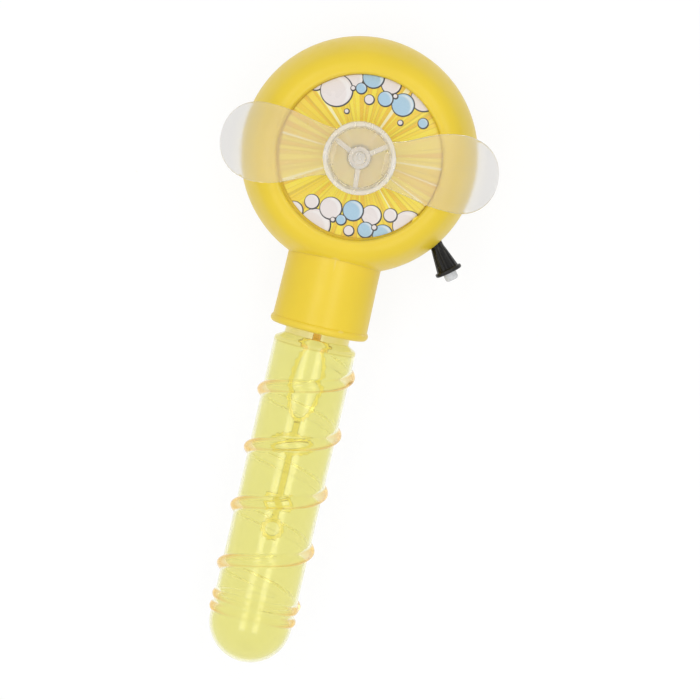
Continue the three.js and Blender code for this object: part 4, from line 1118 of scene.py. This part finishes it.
plug = section(
    (0, socket_top - PLUG_GAP),
    (PLUG_R, socket_top - PLUG_GAP, 0.4),
    (PLUG_R, plug_top - PLUG_GAP, 0.8),
    (0, plug_top - PLUG_GAP),
)
plug = on_bottle_axis(turn(plug, 72))
stems = []
stem_top = socket_top
for drop, _, half_y, _ in WAND_RINGS:
    ring_top = socket_top - drop + half_y - RING_BAR / 2
    stem = block(
        (-STEM_HALF, ring_top, MID_Z - WAND_THICK / 2 + STEM_INSET),
        (STEM_HALF, stem_top, MID_Z + WAND_THICK / 2 - STEM_INSET),
    )
    stems.append(soften(stem, STEM_ROUND))
    stem_top = socket_top - drop - half_y + RING_BAR / 2
windows_y = socket_top - WINDOWS_DROP
frame_bars = block(
    (-WINDOWS_HALF_X, windows_y - WINDOWS_HALF_Y, MID_Z - WAND_THICK / 2 + FRAME_INSET),
    (WINDOWS_HALF_X, windows_y + WINDOWS_HALF_Y, MID_Z + WAND_THICK / 2 - FRAME_INSET),
)
soften(frame_bars, FRAME_ROUND)
panes = []
for side in (-1, 1):
    near, far = sorted((side * STEM_HALF, side * (WINDOWS_HALF_X - WINDOWS_BAR)))
    panes.append(
        block(
            (near, windows_y - WINDOWS_HALF_Y + WINDOWS_BAR, MID_Z - 3),
            (far, windows_y + WINDOWS_HALF_Y - WINDOWS_BAR, MID_Z + 3),
        )
    )
wand = combine("UNION", plug, frame_bars, *stems, *[wand_ring(*ring) for ring in WAND_RINGS])
wand = combine("DIFFERENCE", wand, *panes)
fit("bubble_wand", wand, wand_yellow, "housing")

# ---- Bottle gasket ----
# A die-cut ring of white closed-cell foam that lies on the bottle's mouth and seals it against the
# socket's floor.
GASKET_HOLE_R = 9.2
GASKET_ROUND = 0.2
FOAM_WHITE = (0.80, 0.80, 0.76, 1)

foam, tree, shader, where = new_material("foam_gasket")
cells = put(tree, "ShaderNodeTexVoronoi", {"Vector": where, "Scale": 2600.0}).outputs["Distance"]
cell_tone = spread(tree, cells, 0.0, 0.6, 0.0, 0.35)
pored = blended(tree, cell_tone, FOAM_WHITE, (0.62, 0.60, 0.54, 1))
feed(tree, shader, {"Base Color": pored, "Roughness": 0.85})
bumped(tree, shader, cells, 0.7, 0.0001)

gasket_low, gasket_high = millimetres("bottle_gasket")
gasket = section(
    (GASKET_HOLE_R, gasket_low.y, GASKET_ROUND),
    (gasket_high.x, gasket_low.y, GASKET_ROUND),
    (gasket_high.x, gasket_high.y, GASKET_ROUND),
    (GASKET_HOLE_R, gasket_high.y, GASKET_ROUND),
)
gasket = on_bottle_axis(turn(gasket, 120))
fit("bottle_gasket", gasket, foam, "gasket")

# ---- Bottle ----
# The screw-on bubble bottle, moulded in clear yellow-tinted plastic with a smooth bore and a
# threaded neck. A solid round ridge winds down it from the shoulder to two rings above its end.
NECK_R = 12.3
BOTTLE_R = 15.6
BOTTLE_WALL = 1.0
NECK_SHOWING = 3.0
SHOULDER_DROP = 2.7
SHOULDER_ROUND = 1.5
SHOULDER_LEAN = 60.0
MOUTH_ROUND = 0.25
NECK_ROWS = 48
STRAIGHT_ROWS = 270
RIDGE_PITCH = 22.4
RIDGE_OUT = 1.9
RIDGE_SECTION_R = 2.4
RIDGE_FIRST_SIDE = 8.9
RING_RISES = (7.65, 2.95)
RING_OUT = 1.0
RING_SECTION_R = 2.1
NECK_THREAD_OUT = 1.2
NECK_THREAD_HALF = 1.35
CLEAR_TINT = (0.893, 0.868, 0.475, 1)
# painted shade: the dark orange of the ridge where it is seen edge-on
RIDGE_EDGE_SHADE = (0.82, 0.36, 0.01, 1)
SHOULDER_TINT = (0.78, 0.68, 0.20, 1)
NECK_TINT = (0.60, 0.43, 0.02, 1)

bottle_low, bottle_high = millimetres("bottle")
shoulder_y = collar_foot - NECK_SHOWING
straight_top = shoulder_y - SHOULDER_DROP

clear_yellow, tree, shader, where = new_material("clear_yellow")
height = put(tree, "ShaderNodeSeparateXYZ", {0: where}).outputs["Y"]
near_neck = spread(tree, height, (straight_top - 1.2) * MM, (straight_top - 0.4) * MM, 0.0, 1.0)
from_axis = vector_of(tree, "SUBTRACT", where, (0, 0, seam_z))
out = vector_of(tree, "LENGTH", vector_of(tree, "MULTIPLY", from_axis, (1, 0, 1)))
on_ridge = spread(tree, out, (BOTTLE_R + 0.05) * MM, (BOTTLE_R + 0.5) * MM, 0.0, 1.0)
feed(tree, shader, {"Coat Weight": spread(tree, on_ridge, 0.0, 1.0, 0.24, 0.0)})
# Where the ridge is seen edge-on it is painted a dark orange: painted shade and tint standing in
# for the darker light that passes through its thickness.
edge_on = put(tree, "ShaderNodeLayerWeight", {"Blend": 0.5}).outputs["Facing"]
edge_on = spread(tree, edge_on, 0.3, 0.65, 0.03, 1.0)
on_ridge = math_of(tree, "MULTIPLY", on_ridge, edge_on)
tinted = blended(tree, near_neck, CLEAR_TINT, SHOULDER_TINT)
on_neck = spread(tree, height, (shoulder_y - 0.1) * MM, (shoulder_y + 0.3) * MM, 0.0, 1.0)
tinted = blended(tree, on_neck, tinted, NECK_TINT)
tinted = blended(tree, on_ridge, tinted, RIDGE_EDGE_SHADE)
flow = noise(tree, where, 120.0, 2.0)
tinted = blended(tree, spread(tree, flow, 0.3, 0.7, 0.0, 0.10), tinted, (0.93, 0.90, 0.55, 1))
gloss = spread(tree, flow, 0.3, 0.7, 0.05, 0.10)
feed(tree, shader, {"Base Color": tinted, "Roughness": gloss})
bumped(tree, shader, flow, 0.3, 0.0004)
lets_light_by(tree, shader, 0.25, spread(tree, near_neck, 0.0, 1.0, 6.5, 0.5))
feed(tree, shader, {"Transmission Weight": 1.0, "IOR": 1.34})
feed(tree, shader, {"Coat Roughness": 0.22, "Coat IOR": 1.5})

straight_end = bottle_low.y + BOTTLE_R
mouth_r = NECK_R - BOTTLE_WALL


def down(bm, pen, height, rows):
    """Draws a wall straight down to a height in even rows."""
    radius, top = pen.co.x, pen.co.z
    return line(bm, pen, *[(radius, top + (height - top) * n / rows) for n in range(1, rows + 1)])


def shoulder(bm, pen, round_r):
    """Slopes out from the neck and rounds over into the straight wall."""
    centre = (BOTTLE_R - SHOULDER_ROUND, straight_top)
    lean = math.radians(SHOULDER_LEAN)
    start = (centre[0] + round_r * math.cos(lean), centre[1] + round_r * math.sin(lean))
    return arc(bm, line(bm, pen, start), centre, -SHOULDER_LEAN, 6)


bm = bmesh.new()
lip = bm.verts.new(((NECK_R + mouth_r) / 2, 0, bottle_high.y))
pen = line(bm, lip, (NECK_R - MOUTH_ROUND, bottle_high.y), (NECK_R, bottle_high.y - MOUTH_ROUND))
pen = down(bm, pen, shoulder_y + 0.35, NECK_ROWS)
pen = line(bm, pen, (NECK_R + 0.1, shoulder_y + 0.12), (NECK_R + 0.35, shoulder_y - 0.12))
pen = shoulder(bm, pen, SHOULDER_ROUND)
pen = down(bm, pen, straight_end, STRAIGHT_ROWS)
arc(bm, pen, (0, straight_end), -90, 24)
pen = line(bm, lip, (mouth_r + MOUTH_ROUND, bottle_high.y), (mouth_r, bottle_high.y - MOUTH_ROUND))
pen = down(bm, pen, shoulder_y - 0.6, 4)
pen = shoulder(bm, pen, SHOULDER_ROUND - BOTTLE_WALL)
pen = down(bm, pen, straight_end, 6)
arc(bm, pen, (0, straight_end), -90, 20)
bottle = on_bottle_axis(turn(bm, 168))

ridge_start = straight_top - RIDGE_SECTION_R - 1
ridge_side = straight_top - RIDGE_FIRST_SIDE
ridge_angle = (ridge_side - ridge_start) / RIDGE_PITCH * 2 * math.pi
ridge_turns = (ridge_start - straight_end - RING_RISES[0]) / RIDGE_PITCH


def swell(away, section_r, out):
    """The height of a round ridge at a distance from its crest line, with a soft foot."""
    foot = math.sqrt(section_r**2 - (section_r - out) ** 2)
    near = abs(away) / (foot * 1.06)
    if near >= 1:
        return 0.0
    return out * (1 - near**2) ** 0.85


def ridge_height(angle, y):
    """How far the winding ridge stands out at an angle round the bottle and a height."""
    best = 0.0
    round_part = (angle - ridge_angle) / (2 * math.pi)
    turns_down = (ridge_start - y) / RIDGE_PITCH
    for lap in (math.floor(turns_down - round_part), math.ceil(turns_down - round_part)):
        t = round_part + lap
        if not 0 <= t <= ridge_turns:
            continue
        grown = min(1.0, t / 0.10) * min(1.0, (ridge_turns - t) / 0.06 + 0.2)
        away = (y - (ridge_start - t * RIDGE_PITCH)) * 0.975
        best = max(best, swell(away, RIDGE_SECTION_R, RIDGE_OUT * grown))
    return best


thread_top = bottle_top - THREAD_PITCH * 0.6
for v in bottle.verts:
    from_axis = Vector((v.co.x, 0, v.co.z - MID_Z))
    skin_r = NECK_R if v.co.y > shoulder_y else BOTTLE_R
    if from_axis.length < skin_r - 0.3:
        continue
    angle = math.atan2(from_axis.z, from_axis.x)
    extra = 0.0
    if v.co.y > shoulder_y + 0.5:
        t = angle / (2 * math.pi) % 1.0
        for lap in range(THREAD_TURNS):
            away = v.co.y - (thread_top - (t + lap) * THREAD_PITCH)
            whole_turn = min(1.0, (t + lap) / 0.1, (THREAD_TURNS - t - lap) / 0.1)
            crest = max(0.0, 1 - (away / NECK_THREAD_HALF) ** 2)
            extra = max(extra, NECK_THREAD_OUT * whole_turn * crest)
    elif v.co.y > straight_end:
        extra = ridge_height(angle, v.co.y)
        for rise in RING_RISES:
            extra = max(extra, swell(v.co.y - straight_end - rise, RING_SECTION_R, RING_OUT))
    v.co += from_axis.normalized() * extra
fit("bottle", bottle, clear_yellow, "bottle", sharp=80.0)

# ---- Motor ----
# A small flat-sided DC motor: a drawn steel can with a bearing nose that comes up through the
# label, a white end cap, and inside it the magnets, the wound armature and the carbon brushes.
CAN_R = 10.05
CAN_FLAT = 7.55
CAN_ROUND = 1.0
CAN_WALL = 0.8
NOSE_R = 4.2
NOSE_BORE_R = 3.5
NOSE_LENGTH = 3.2
BUSH_BORE_R = 1.2

can_steel = metal("can_steel", (0.50, 0.50, 0.49, 1), (0.33, 0.31, 0.27, 1), 0.3, 0.33, 0.12)
brass = metal("brass", (0.78, 0.60, 0.30, 1), (0.42, 0.30, 0.14, 1), 0.4, 0.28, 0.14)
copper = metal("copper_winding", (0.62, 0.28, 0.14, 1), (0.30, 0.12, 0.05, 1), 0.5, 0.30, 0.20)
ferrite = metal("ferrite", (0.09, 0.09, 0.09, 1), (0.05, 0.05, 0.05, 1), 0.5, 0.60, 0.15)
ferrite.node_tree.nodes["Principled BSDF"].inputs["Metallic"].default_value = 0.0


def flat_sided(radius, flat, low, high):
    """A rod with two flats, across x."""
    bm = rod(radius, low, high, 120)
    for v in bm.verts:
        v.co.x = max(-flat, min(flat, v.co.x))
    bmesh.ops.remove_doubles(bm, verts=bm.verts, dist=1e-3)
    return bm


can_low, can_high = millimetres("motor_can")
can_top = can_high.z - NOSE_LENGTH
can = flat_sided(CAN_R, CAN_FLAT, can_low.z, can_top)
front_edges = [
    e
    for e in can.edges
    if all(v.co.z > can_top - 0.01 for v in e.verts) and len(e.link_faces) == 2
]
round_edges(can, front_edges, CAN_ROUND, 4)
hollow = flat_sided(CAN_R - CAN_WALL, CAN_FLAT - CAN_WALL, can_low.z - 1, can_top - CAN_WALL)
nose_foot = can_top - CAN_WALL / 2
nose = turn(
    section((0, nose_foot), (NOSE_R, nose_foot), (NOSE_R, can_high.z, 0.35), (0, can_high.z)), 72
)
bore = section(
    (0, can_low.z),
    (NOSE_BORE_R, can_low.z),
    (NOSE_BORE_R, can_high.z - 0.25),
    (NOSE_BORE_R + 0.5, can_high.z + 0.25),
    (0, can_high.z + 0.25),
)
turn(bore, 72)
can = combine("DIFFERENCE", can, hollow)
can = combine("UNION", can, nose)
can = combine("DIFFERENCE", can, bore)
fit("motor_can", can, can_steel, "housing")

bush_low, bush_high = millimetres("motor_bush")
bush = section(
    (BUSH_BORE_R, bush_low.z),
    (bush_high.x, bush_low.z, 0.15),
    (bush_high.x, bush_high.z, 0.3),
    (BUSH_BORE_R, bush_high.z, 0.2),
)
fit("motor_bush", turn(bush, 60), brass, "housing")

shaft_low, shaft_high = millimetres("motor_shaft")
shaft = section(
    (0, shaft_low.z),
    (shaft_high.x, shaft_low.z, 0.2),
    (shaft_high.x, shaft_high.z, 0.25),
    (0, shaft_high.z),
)
fit("motor_shaft", turn(shaft, 40), plated_steel, "fan")

white_nylon, tree, shader, where = new_material("white_nylon")
moulded(
    tree, shader, where, (0.82, 0.81, 0.76, 1),
    drift=0.05, roughness=0.42, grain=1400.0, rub=0.15, paling=0.0, bump=0.00005,
)


def finish_nodes(material, *nodes):
    """CAD nodes whose shape is right keep it and take a finished material."""
    for node in nodes:
        for slot_of in frame["nodes"][node].material_slots:
            slot_of.material = material


finish_nodes(ferrite, "motor_magnet_1", "motor_magnet_2", "motor_brush_1", "motor_brush_2")
finish_nodes(copper, "motor_armature")
finish_nodes(white_nylon, "motor_end_cap", "motor_clamp")
finish_nodes(brass, "motor_terminal_1", "motor_terminal_2")

# ---- Fan hub ----
# The hub is a shallow cup moulded in milky polypropylene and pressed on the motor's shaft: a ring
# and three spokes on a thin clear floor, with a slot on each side that a blade's tang snaps into.
HUB_R = 13.65
HUB_WALL = 1.6
HUB_DRAFT = 1.1
HUB_BOSS_R = 2.5
HUB_FLOOR = 0.8
HUB_FOOT_R = 4.3
HUB_FOOT = 2.4
DIMPLE_R = 0.9
SPOKE_WIDTH = 2.0
SPOKE_THICK = 1.3
SPOKE_TURN = 35
FAN_TURN = 0.6
BLADE_PITCH = 14.0
BLADE_THICK = 1.4
TANG_HALF = 3.2
SHAFT_FIT_R = 1.05
MILKY = (0.86, 0.83, 0.78, 1)

milky_hub, tree, shader, where = new_material("milky_hub")
moulded(
    tree, shader, where, MILKY,
    drift=0.03, roughness=0.22, grain=1300.0, rub=0.10, paling=0.25, bump=0.00003,
)
lets_light_by(tree, shader, 0.3)
feed(tree, shader, {"Transmission Weight": 0.5, "IOR": 1.33})

thin_milky = milky_hub.copy()
thin_milky.name = "thin_milky"
thin_milky.node_tree.nodes["Principled BSDF"].inputs["Transmission Weight"].default_value = 0.78

hub_low, hub_high = millimetres("fan_hub")
blade_z = (hub_low.z + hub_high.z) / 2
ring_in = HUB_R - HUB_WALL
hub = section(
    (ring_in - HUB_DRAFT, hub_low.z, 0.1),
    (HUB_R, hub_low.z, 0.4),
    (HUB_R, hub_high.z, 0.65),
    (ring_in, hub_high.z, 0.65),
)
turn(hub, 180)
boss = section(
    (0, hub_low.z),
    (HUB_FOOT_R, hub_low.z, 0.1),
    (HUB_FOOT_R - 0.15, hub_low.z + HUB_FOOT, 0.35),
    (HUB_BOSS_R, hub_low.z + HUB_FOOT, 0.3),
    (HUB_BOSS_R - 0.1, hub_high.z, 0.6),
    (DIMPLE_R, hub_high.z, 0.2),
    (DIMPLE_R * 0.7, hub_high.z - 0.5),
    (0, hub_high.z - 0.5),
)
turn(boss, 64)
spokes = []
for n in range(3):
    spoke = block(
        (1, -SPOKE_WIDTH / 2, hub_low.z + 0.02),
        (ring_in + 0.6, SPOKE_WIDTH / 2, hub_low.z + SPOKE_THICK),
    )
    about = Matrix.Rotation(math.radians(SPOKE_TURN + 120 * n), 4, "Z")
    spokes.append(placed(soften(spoke, 0.4), about))


def on_fan(bm, index):
    """Sets a piece that was made flat at the shaft to its blade's pitch and place."""
    pitched = Matrix.Rotation(math.radians(BLADE_PITCH), 4, "X")
    about = Matrix.Rotation(math.radians(FAN_TURN + 180 * index), 4, "Z")
    return placed(bm, Matrix.Translation((0, 0, blade_z)) @ about @ pitched)


slots = []
for index in (0, 1):
    half_y, half_z = TANG_HALF + 0.12, BLADE_THICK / 2 + 0.1
    slots.append(on_fan(block((ring_in - 1, -half_y, -half_z), (HUB_R + 1, half_y, half_z)), index))
shaft_bore = rod(SHAFT_FIT_R, hub_low.z - 1, shaft_high.z + 0.1, 32)
hub = combine("UNION", hub, boss, *spokes)
hub = combine("DIFFERENCE", hub, *slots, shaft_bore)
fit("fan_hub", hub, milky_hub, "fan")
floor_in, floor_out = HUB_FOOT_R - 0.02, ring_in - HUB_DRAFT + 0.02
floor_low, floor_top = hub_low.z + 0.03, hub_low.z + HUB_FLOOR
hub_floor = section(
    (floor_in, floor_low), (floor_out, floor_low), (floor_out, floor_top), (floor_in, floor_top)
)
turn(hub_floor, 120)
fit("hub_floor", hub_floor, thin_milky, "fan", node="fan_hub")

# ---- Fan blades ----
# Two soft blades cut from milky PVC sheet, harmless to fingers: broad round paddles whose waists
# narrow to a tang, which is pushed through the hub's slot and locks behind it.
BLADE_TIP_R = 52.2
BLADE_ROOT_HALF = 8.9
BLADE_WIDE_HALF = 15.0
BLADE_SHIFT = 2.0
TANG_HEAD_HALF = 4.5
SHEET_HALF = (26, 20)
SHEET_CENTRE = (30, 1.5)
BLADE_CURL = 0.5
BLADE_RIM = 0.45
SOFT_MILKY = (0.93, 0.895, 0.80, 1)
# painted shade: the duller grey of the blade tips
TIP_PAINTED_SHADE = (0.80, 0.79, 0.78, 1)
TIP_FROM = 39.0
TIP_TO = 48.0

milky_blade, tree, shader, where = new_material("milky_blade")
cloud = noise(tree, where, 160.0, 3.0)
milk = blended(tree, spread(tree, cloud, 0.3, 0.7, 0.0, 0.5), SOFT_MILKY, (0.91, 0.89, 0.87, 1))
# Towards the tips the milk is painted a duller grey: painted shade standing in for the dimmer
# backdrop seen through the blades there.
reach = vector_of(tree, "LENGTH", vector_of(tree, "MULTIPLY", where, (1, 1, 0)))
tip_shade = spread(tree, reach, TIP_FROM * MM, TIP_TO * MM, 0.0, 1.0)
milk = blended(tree, tip_shade, milk, TIP_PAINTED_SHADE)
haze = noise(tree, where, 700.0, 3.0, 0.6)
feed(tree, shader, {"Base Color": milk, "Roughness": spread(tree, haze, 0.3, 0.7, 0.14, 0.24)})
bumped(tree, shader, haze, 0.2, 0.0001)
lets_light_by(tree, shader, 0.25)
feed(tree, shader, {"Transmission Weight": 0.90, "IOR": 1.38})


def blade_outline():
    """The blade's edge, drawn flat with its root at the hub, as a tall prism."""
    root_r = HUB_R + 0.3
    head_r = ring_in - HUB_DRAFT / 2 - 0.2
    head_out = math.sqrt(head_r**2 - TANG_HALF**2)
    head_in = head_r - 2.2
    root_x = math.sqrt(root_r**2 - BLADE_ROOT_HALF**2)
    tang_x = math.sqrt(root_r**2 - TANG_HALF**2)
    low = BLADE_SHIFT - BLADE_WIDE_HALF
    high = BLADE_SHIFT + BLADE_WIDE_HALF
    wide_x = BLADE_TIP_R - BLADE_WIDE_HALF * 0.95
    bends = [
        [
            (root_x, -BLADE_ROOT_HALF),
            (root_x + 9, -BLADE_ROOT_HALF - 0.5),
            (wide_x - 12, low),
            (wide_x, low),
        ],
        [(wide_x, low), (wide_x + 9, low), (BLADE_TIP_R, low + 7), (BLADE_TIP_R, BLADE_SHIFT)],
        [
            (BLADE_TIP_R, BLADE_SHIFT),
            (BLADE_TIP_R, high - 7),
            (wide_x + 9, high),
            (wide_x - 1, high),
        ],
        [
            (wide_x - 1, high),
            (wide_x - 13, high),
            (root_x + 8, BLADE_ROOT_HALF + 1),
            (root_x, BLADE_ROOT_HALF),
        ],
    ]
    points = []
    for bend in bends:
        points += geometry.interpolate_bezier(*[Vector((*p, 0)) for p in bend], 28)[:-1]
    wide, narrow = math.asin(BLADE_ROOT_HALF / root_r), math.asin(TANG_HALF / root_r)
    waist = [wide + (narrow - wide) * n / 8 for n in range(8)]
    points += [Vector((root_r * math.cos(a), root_r * math.sin(a), 0)) for a in waist]
    head_side = math.sqrt(head_r**2 - TANG_HEAD_HALF**2)
    tang = [(tang_x, TANG_HALF), (head_out, TANG_HALF), (head_side, TANG_HEAD_HALF)]
    tang += [(head_in, TANG_HEAD_HALF)]
    points += [Vector((*p, 0)) for p in tang]
    points += [Vector((x, -y, 0)) for x, y in reversed(tang)]
    waist = [-narrow + (narrow - wide) * n / 8 for n in range(1, 8)]
    points += [Vector((root_r * math.cos(a), root_r * math.sin(a), 0)) for a in waist]
    bm = bmesh.new()
    face = bm.faces.new([bm.verts.new(p) for p in points])
    return thickened(bm, [face], 8, -4)


for index in (0, 1):
    sheet_bm = bmesh.new()
    bmesh.ops.create_grid(sheet_bm, x_segments=56, y_segments=40, size=1.0)
    bmesh.ops.scale(sheet_bm, vec=(*SHEET_HALF, 1), verts=sheet_bm.verts)
    shifted(sheet_bm, (*SHEET_CENTRE, 0))
    for v in sheet_bm.verts:
        free = max(0.0, min(1.0, (v.co.x - 17) / 20))
        v.co.z -= BLADE_CURL * free * free * (3 - 2 * free) * ((v.co.y - BLADE_SHIFT) / 15) ** 2
    thickened(sheet_bm, sheet_bm.faces[:], BLADE_THICK, -BLADE_THICK / 2)
    blade = combine("INTERSECT", sheet_bm, blade_outline())
    bmesh.ops.remove_doubles(blade, verts=blade.verts, dist=0.002)
    soften(blade, BLADE_RIM, 60.0, 3)
    node = f"fan_blade_{index + 1}"
    fit(node, on_fan(blade, index), milky_blade, "fan")

# ---- Switch ----
# A push button in a fluted black PVC guard that stands out of the head's lower right. The milky nub
# is on a rod that runs through the guard's floor and presses one brass leaf on the other. A fine
# steel spring round the rod pushes the nub out again.
GUARD_BASE_R = 2.5
GUARD_MOUTH_R = 4.35
GUARD_LENGTH = 11.2
GUARD_RIM = 1.6
GUARD_RIM_R = 5.2
GUARD_WALL = 0.7
GUARD_FLOOR = 2.5
GUARD_FLANGE_R = 4.2
FLUTES = 12
FLUTE_DEEP = 0.28
ROD_R = 1.2
ROD_ROOM = 0.2
CONE_FOOT = 0.6
NUB_R = 2.5
NUB_TOP = 14.2
NUB_LENGTH = 7.2
ROD_END = -7.2
FLANGE_TOP = -4.2
FLANGE_BACK = -5.4
GUARD_BLACK = (0.006, 0.0055, 0.005, 1)
SPRING_WIRE_R = 0.25
SPRING_MEAN_R = ROD_R + 0.65
SPRING_TURNS = 4
SPRING_STEPS = 24
SPRING_GAP = 0.3
NUB_WHITE = (0.78, 0.79, 0.80, 1)

guard_black, tree, shader, where = new_material("guard_black")
moulded(
    tree, shader, where, GUARD_BLACK,
    drift=0.15, roughness=0.22, grain=1900.0, rub=0.18, paling=0.03, bump=0.00003,
)
feed(tree, shader, {"Specular IOR Level": 0.2})

nub_white, tree, shader, where = new_material("nub_white")
moulded(
    tree, shader, where, NUB_WHITE,
    drift=0.03, roughness=0.22, grain=1500.0, rub=0.12, paling=0.1, bump=0.00003,
)
feed(tree, shader, {"Transmission Weight": 0.35})

guard = section(
    (ROD_R + ROD_ROOM, FLANGE_BACK),
    (GUARD_FLANGE_R, FLANGE_BACK, 0.2),
    (GUARD_FLANGE_R, FLANGE_TOP, 0.2),
    (GUARD_BASE_R, FLANGE_TOP),
    (GUARD_BASE_R, CONE_FOOT, 1.2),
    (GUARD_MOUTH_R - 0.1, GUARD_LENGTH - GUARD_RIM, 0.2),
    (GUARD_RIM_R, GUARD_LENGTH - GUARD_RIM, 0.5),
    (GUARD_RIM_R, GUARD_LENGTH, 0.7),
    (GUARD_MOUTH_R - GUARD_WALL, GUARD_LENGTH, 0.3),
    (GUARD_BASE_R - 0.1, GUARD_FLOOR),
    (ROD_R + ROD_ROOM, GUARD_FLOOR),
)
turn(guard, 112)
cone = [
    e
    for e in guard.edges
    if min(v.co.z for v in e.verts) < 1.2 + 1e-3 and max(v.co.z for v in e.verts) > 9
]
outer_cone = [e for e in cone if min(v.co.xy.length for v in e.verts) > GUARD_BASE_R - 0.05]
bmesh.ops.subdivide_edges(guard, edges=outer_cone, cuts=6)
for v in guard.verts:
    out_r = v.co.xy.length
    wall_r = GUARD_BASE_R + (GUARD_MOUTH_R - GUARD_BASE_R) * (v.co.z - CONE_FOOT) / 10
    if 1.0 < v.co.z < GUARD_LENGTH - GUARD_RIM - 0.05 and out_r > wall_r - 0.35:
        wave = 0.5 - 0.5 * math.cos(FLUTES * math.atan2(v.co.y, v.co.x))
        fade = min(1.0, (v.co.z - 1.0) / 2)
        v.co.xy *= (out_r - FLUTE_DEEP * wave * fade) / out_r
fit("switch_guard", on_switch_axis(guard), guard_black, "housing")

nub = section(
    (0, ROD_END),
    (ROD_R, ROD_END, 0.3),
    (ROD_R, NUB_TOP - NUB_LENGTH),
    (NUB_R, NUB_TOP - NUB_LENGTH, 0.2),
    (NUB_R, NUB_TOP, 1.0),
    (0, NUB_TOP),
)
turn(nub, 64)
fit("switch_button", on_switch_axis(nub), nub_white, "button")

spring_foot = GUARD_FLOOR + SPRING_GAP + SPRING_WIRE_R
spring_top = NUB_TOP - NUB_LENGTH - SPRING_GAP - SPRING_WIRE_R
coil = bmesh.new()
upright = Matrix.Rotation(math.pi / 2, 4, "X")
wire_end = Matrix.Translation((SPRING_MEAN_R, 0, spring_foot)) @ upright
bmesh.ops.create_circle(coil, segments=10, radius=SPRING_WIRE_R, cap_ends=True, matrix=wire_end)
wound(coil, (spring_top - spring_foot) / SPRING_TURNS, SPRING_TURNS, SPRING_STEPS)
button_spring = fit("button_spring", on_switch_axis(coil), plated_steel, "housing")
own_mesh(button_spring)
finish_nodes(plated_steel, "button_clip")
finish_nodes(guard_black, "switch_block")
finish_nodes(brass, "switch_leaf_1", "switch_leaf_2")

# ---- Cells, contacts and wires ----
# Two AA cells in printed steel jackets lie side by side in the bay between conical springs and
# nickel-plated strips. Red and black PVC-covered wires join them to the switch and the motor.
jacket, tree, shader, where = new_material("cell_jacket")
apart = put(tree, "ShaderNodeSeparateXYZ", {0: where})
band = math_of(tree, "ABSOLUTE", math_of(tree, "MULTIPLY", apart.outputs["Y"], 1 / MM))
in_band = spread(tree, band, 13.0, 13.3, 0.0, 1.0)
smudge = noise(tree, where, 200.0, 3.0)
smudged = spread(tree, smudge, 0.3, 0.7, 0.0, 0.4)
green = blended(tree, smudged, (0.05, 0.24, 0.14, 1), (0.08, 0.30, 0.18, 1))
printed = blended(tree, in_band, green, (0.62, 0.60, 0.55, 1))
gloss = spread(tree, smudge, 0.3, 0.7, 0.22, 0.38)
feed(tree, shader, {"Base Color": printed, "Roughness": gloss, "Metallic": 0.5})
finish_nodes(jacket, "battery_1", "battery_2")
finish_nodes(plated_steel, "battery_spring_1", "battery_spring_2", "battery_bridge")
finish_nodes(plated_steel, "contact_minus", "contact_plus")


def insulation(name, colour):
    made, tree, shader, where = new_material(name)
    moulded(
        tree, shader, where, colour,
        drift=0.08, roughness=0.45, grain=1600.0, rub=0.1, paling=0.0, bump=0.00004,
    )
    return made


finish_nodes(insulation("red_insulation", (0.55, 0.04, 0.03, 1)), "wire_plus", "wire_switch")
finish_nodes(insulation("black_insulation", (0.03, 0.03, 0.03, 1)), "wire_minus")
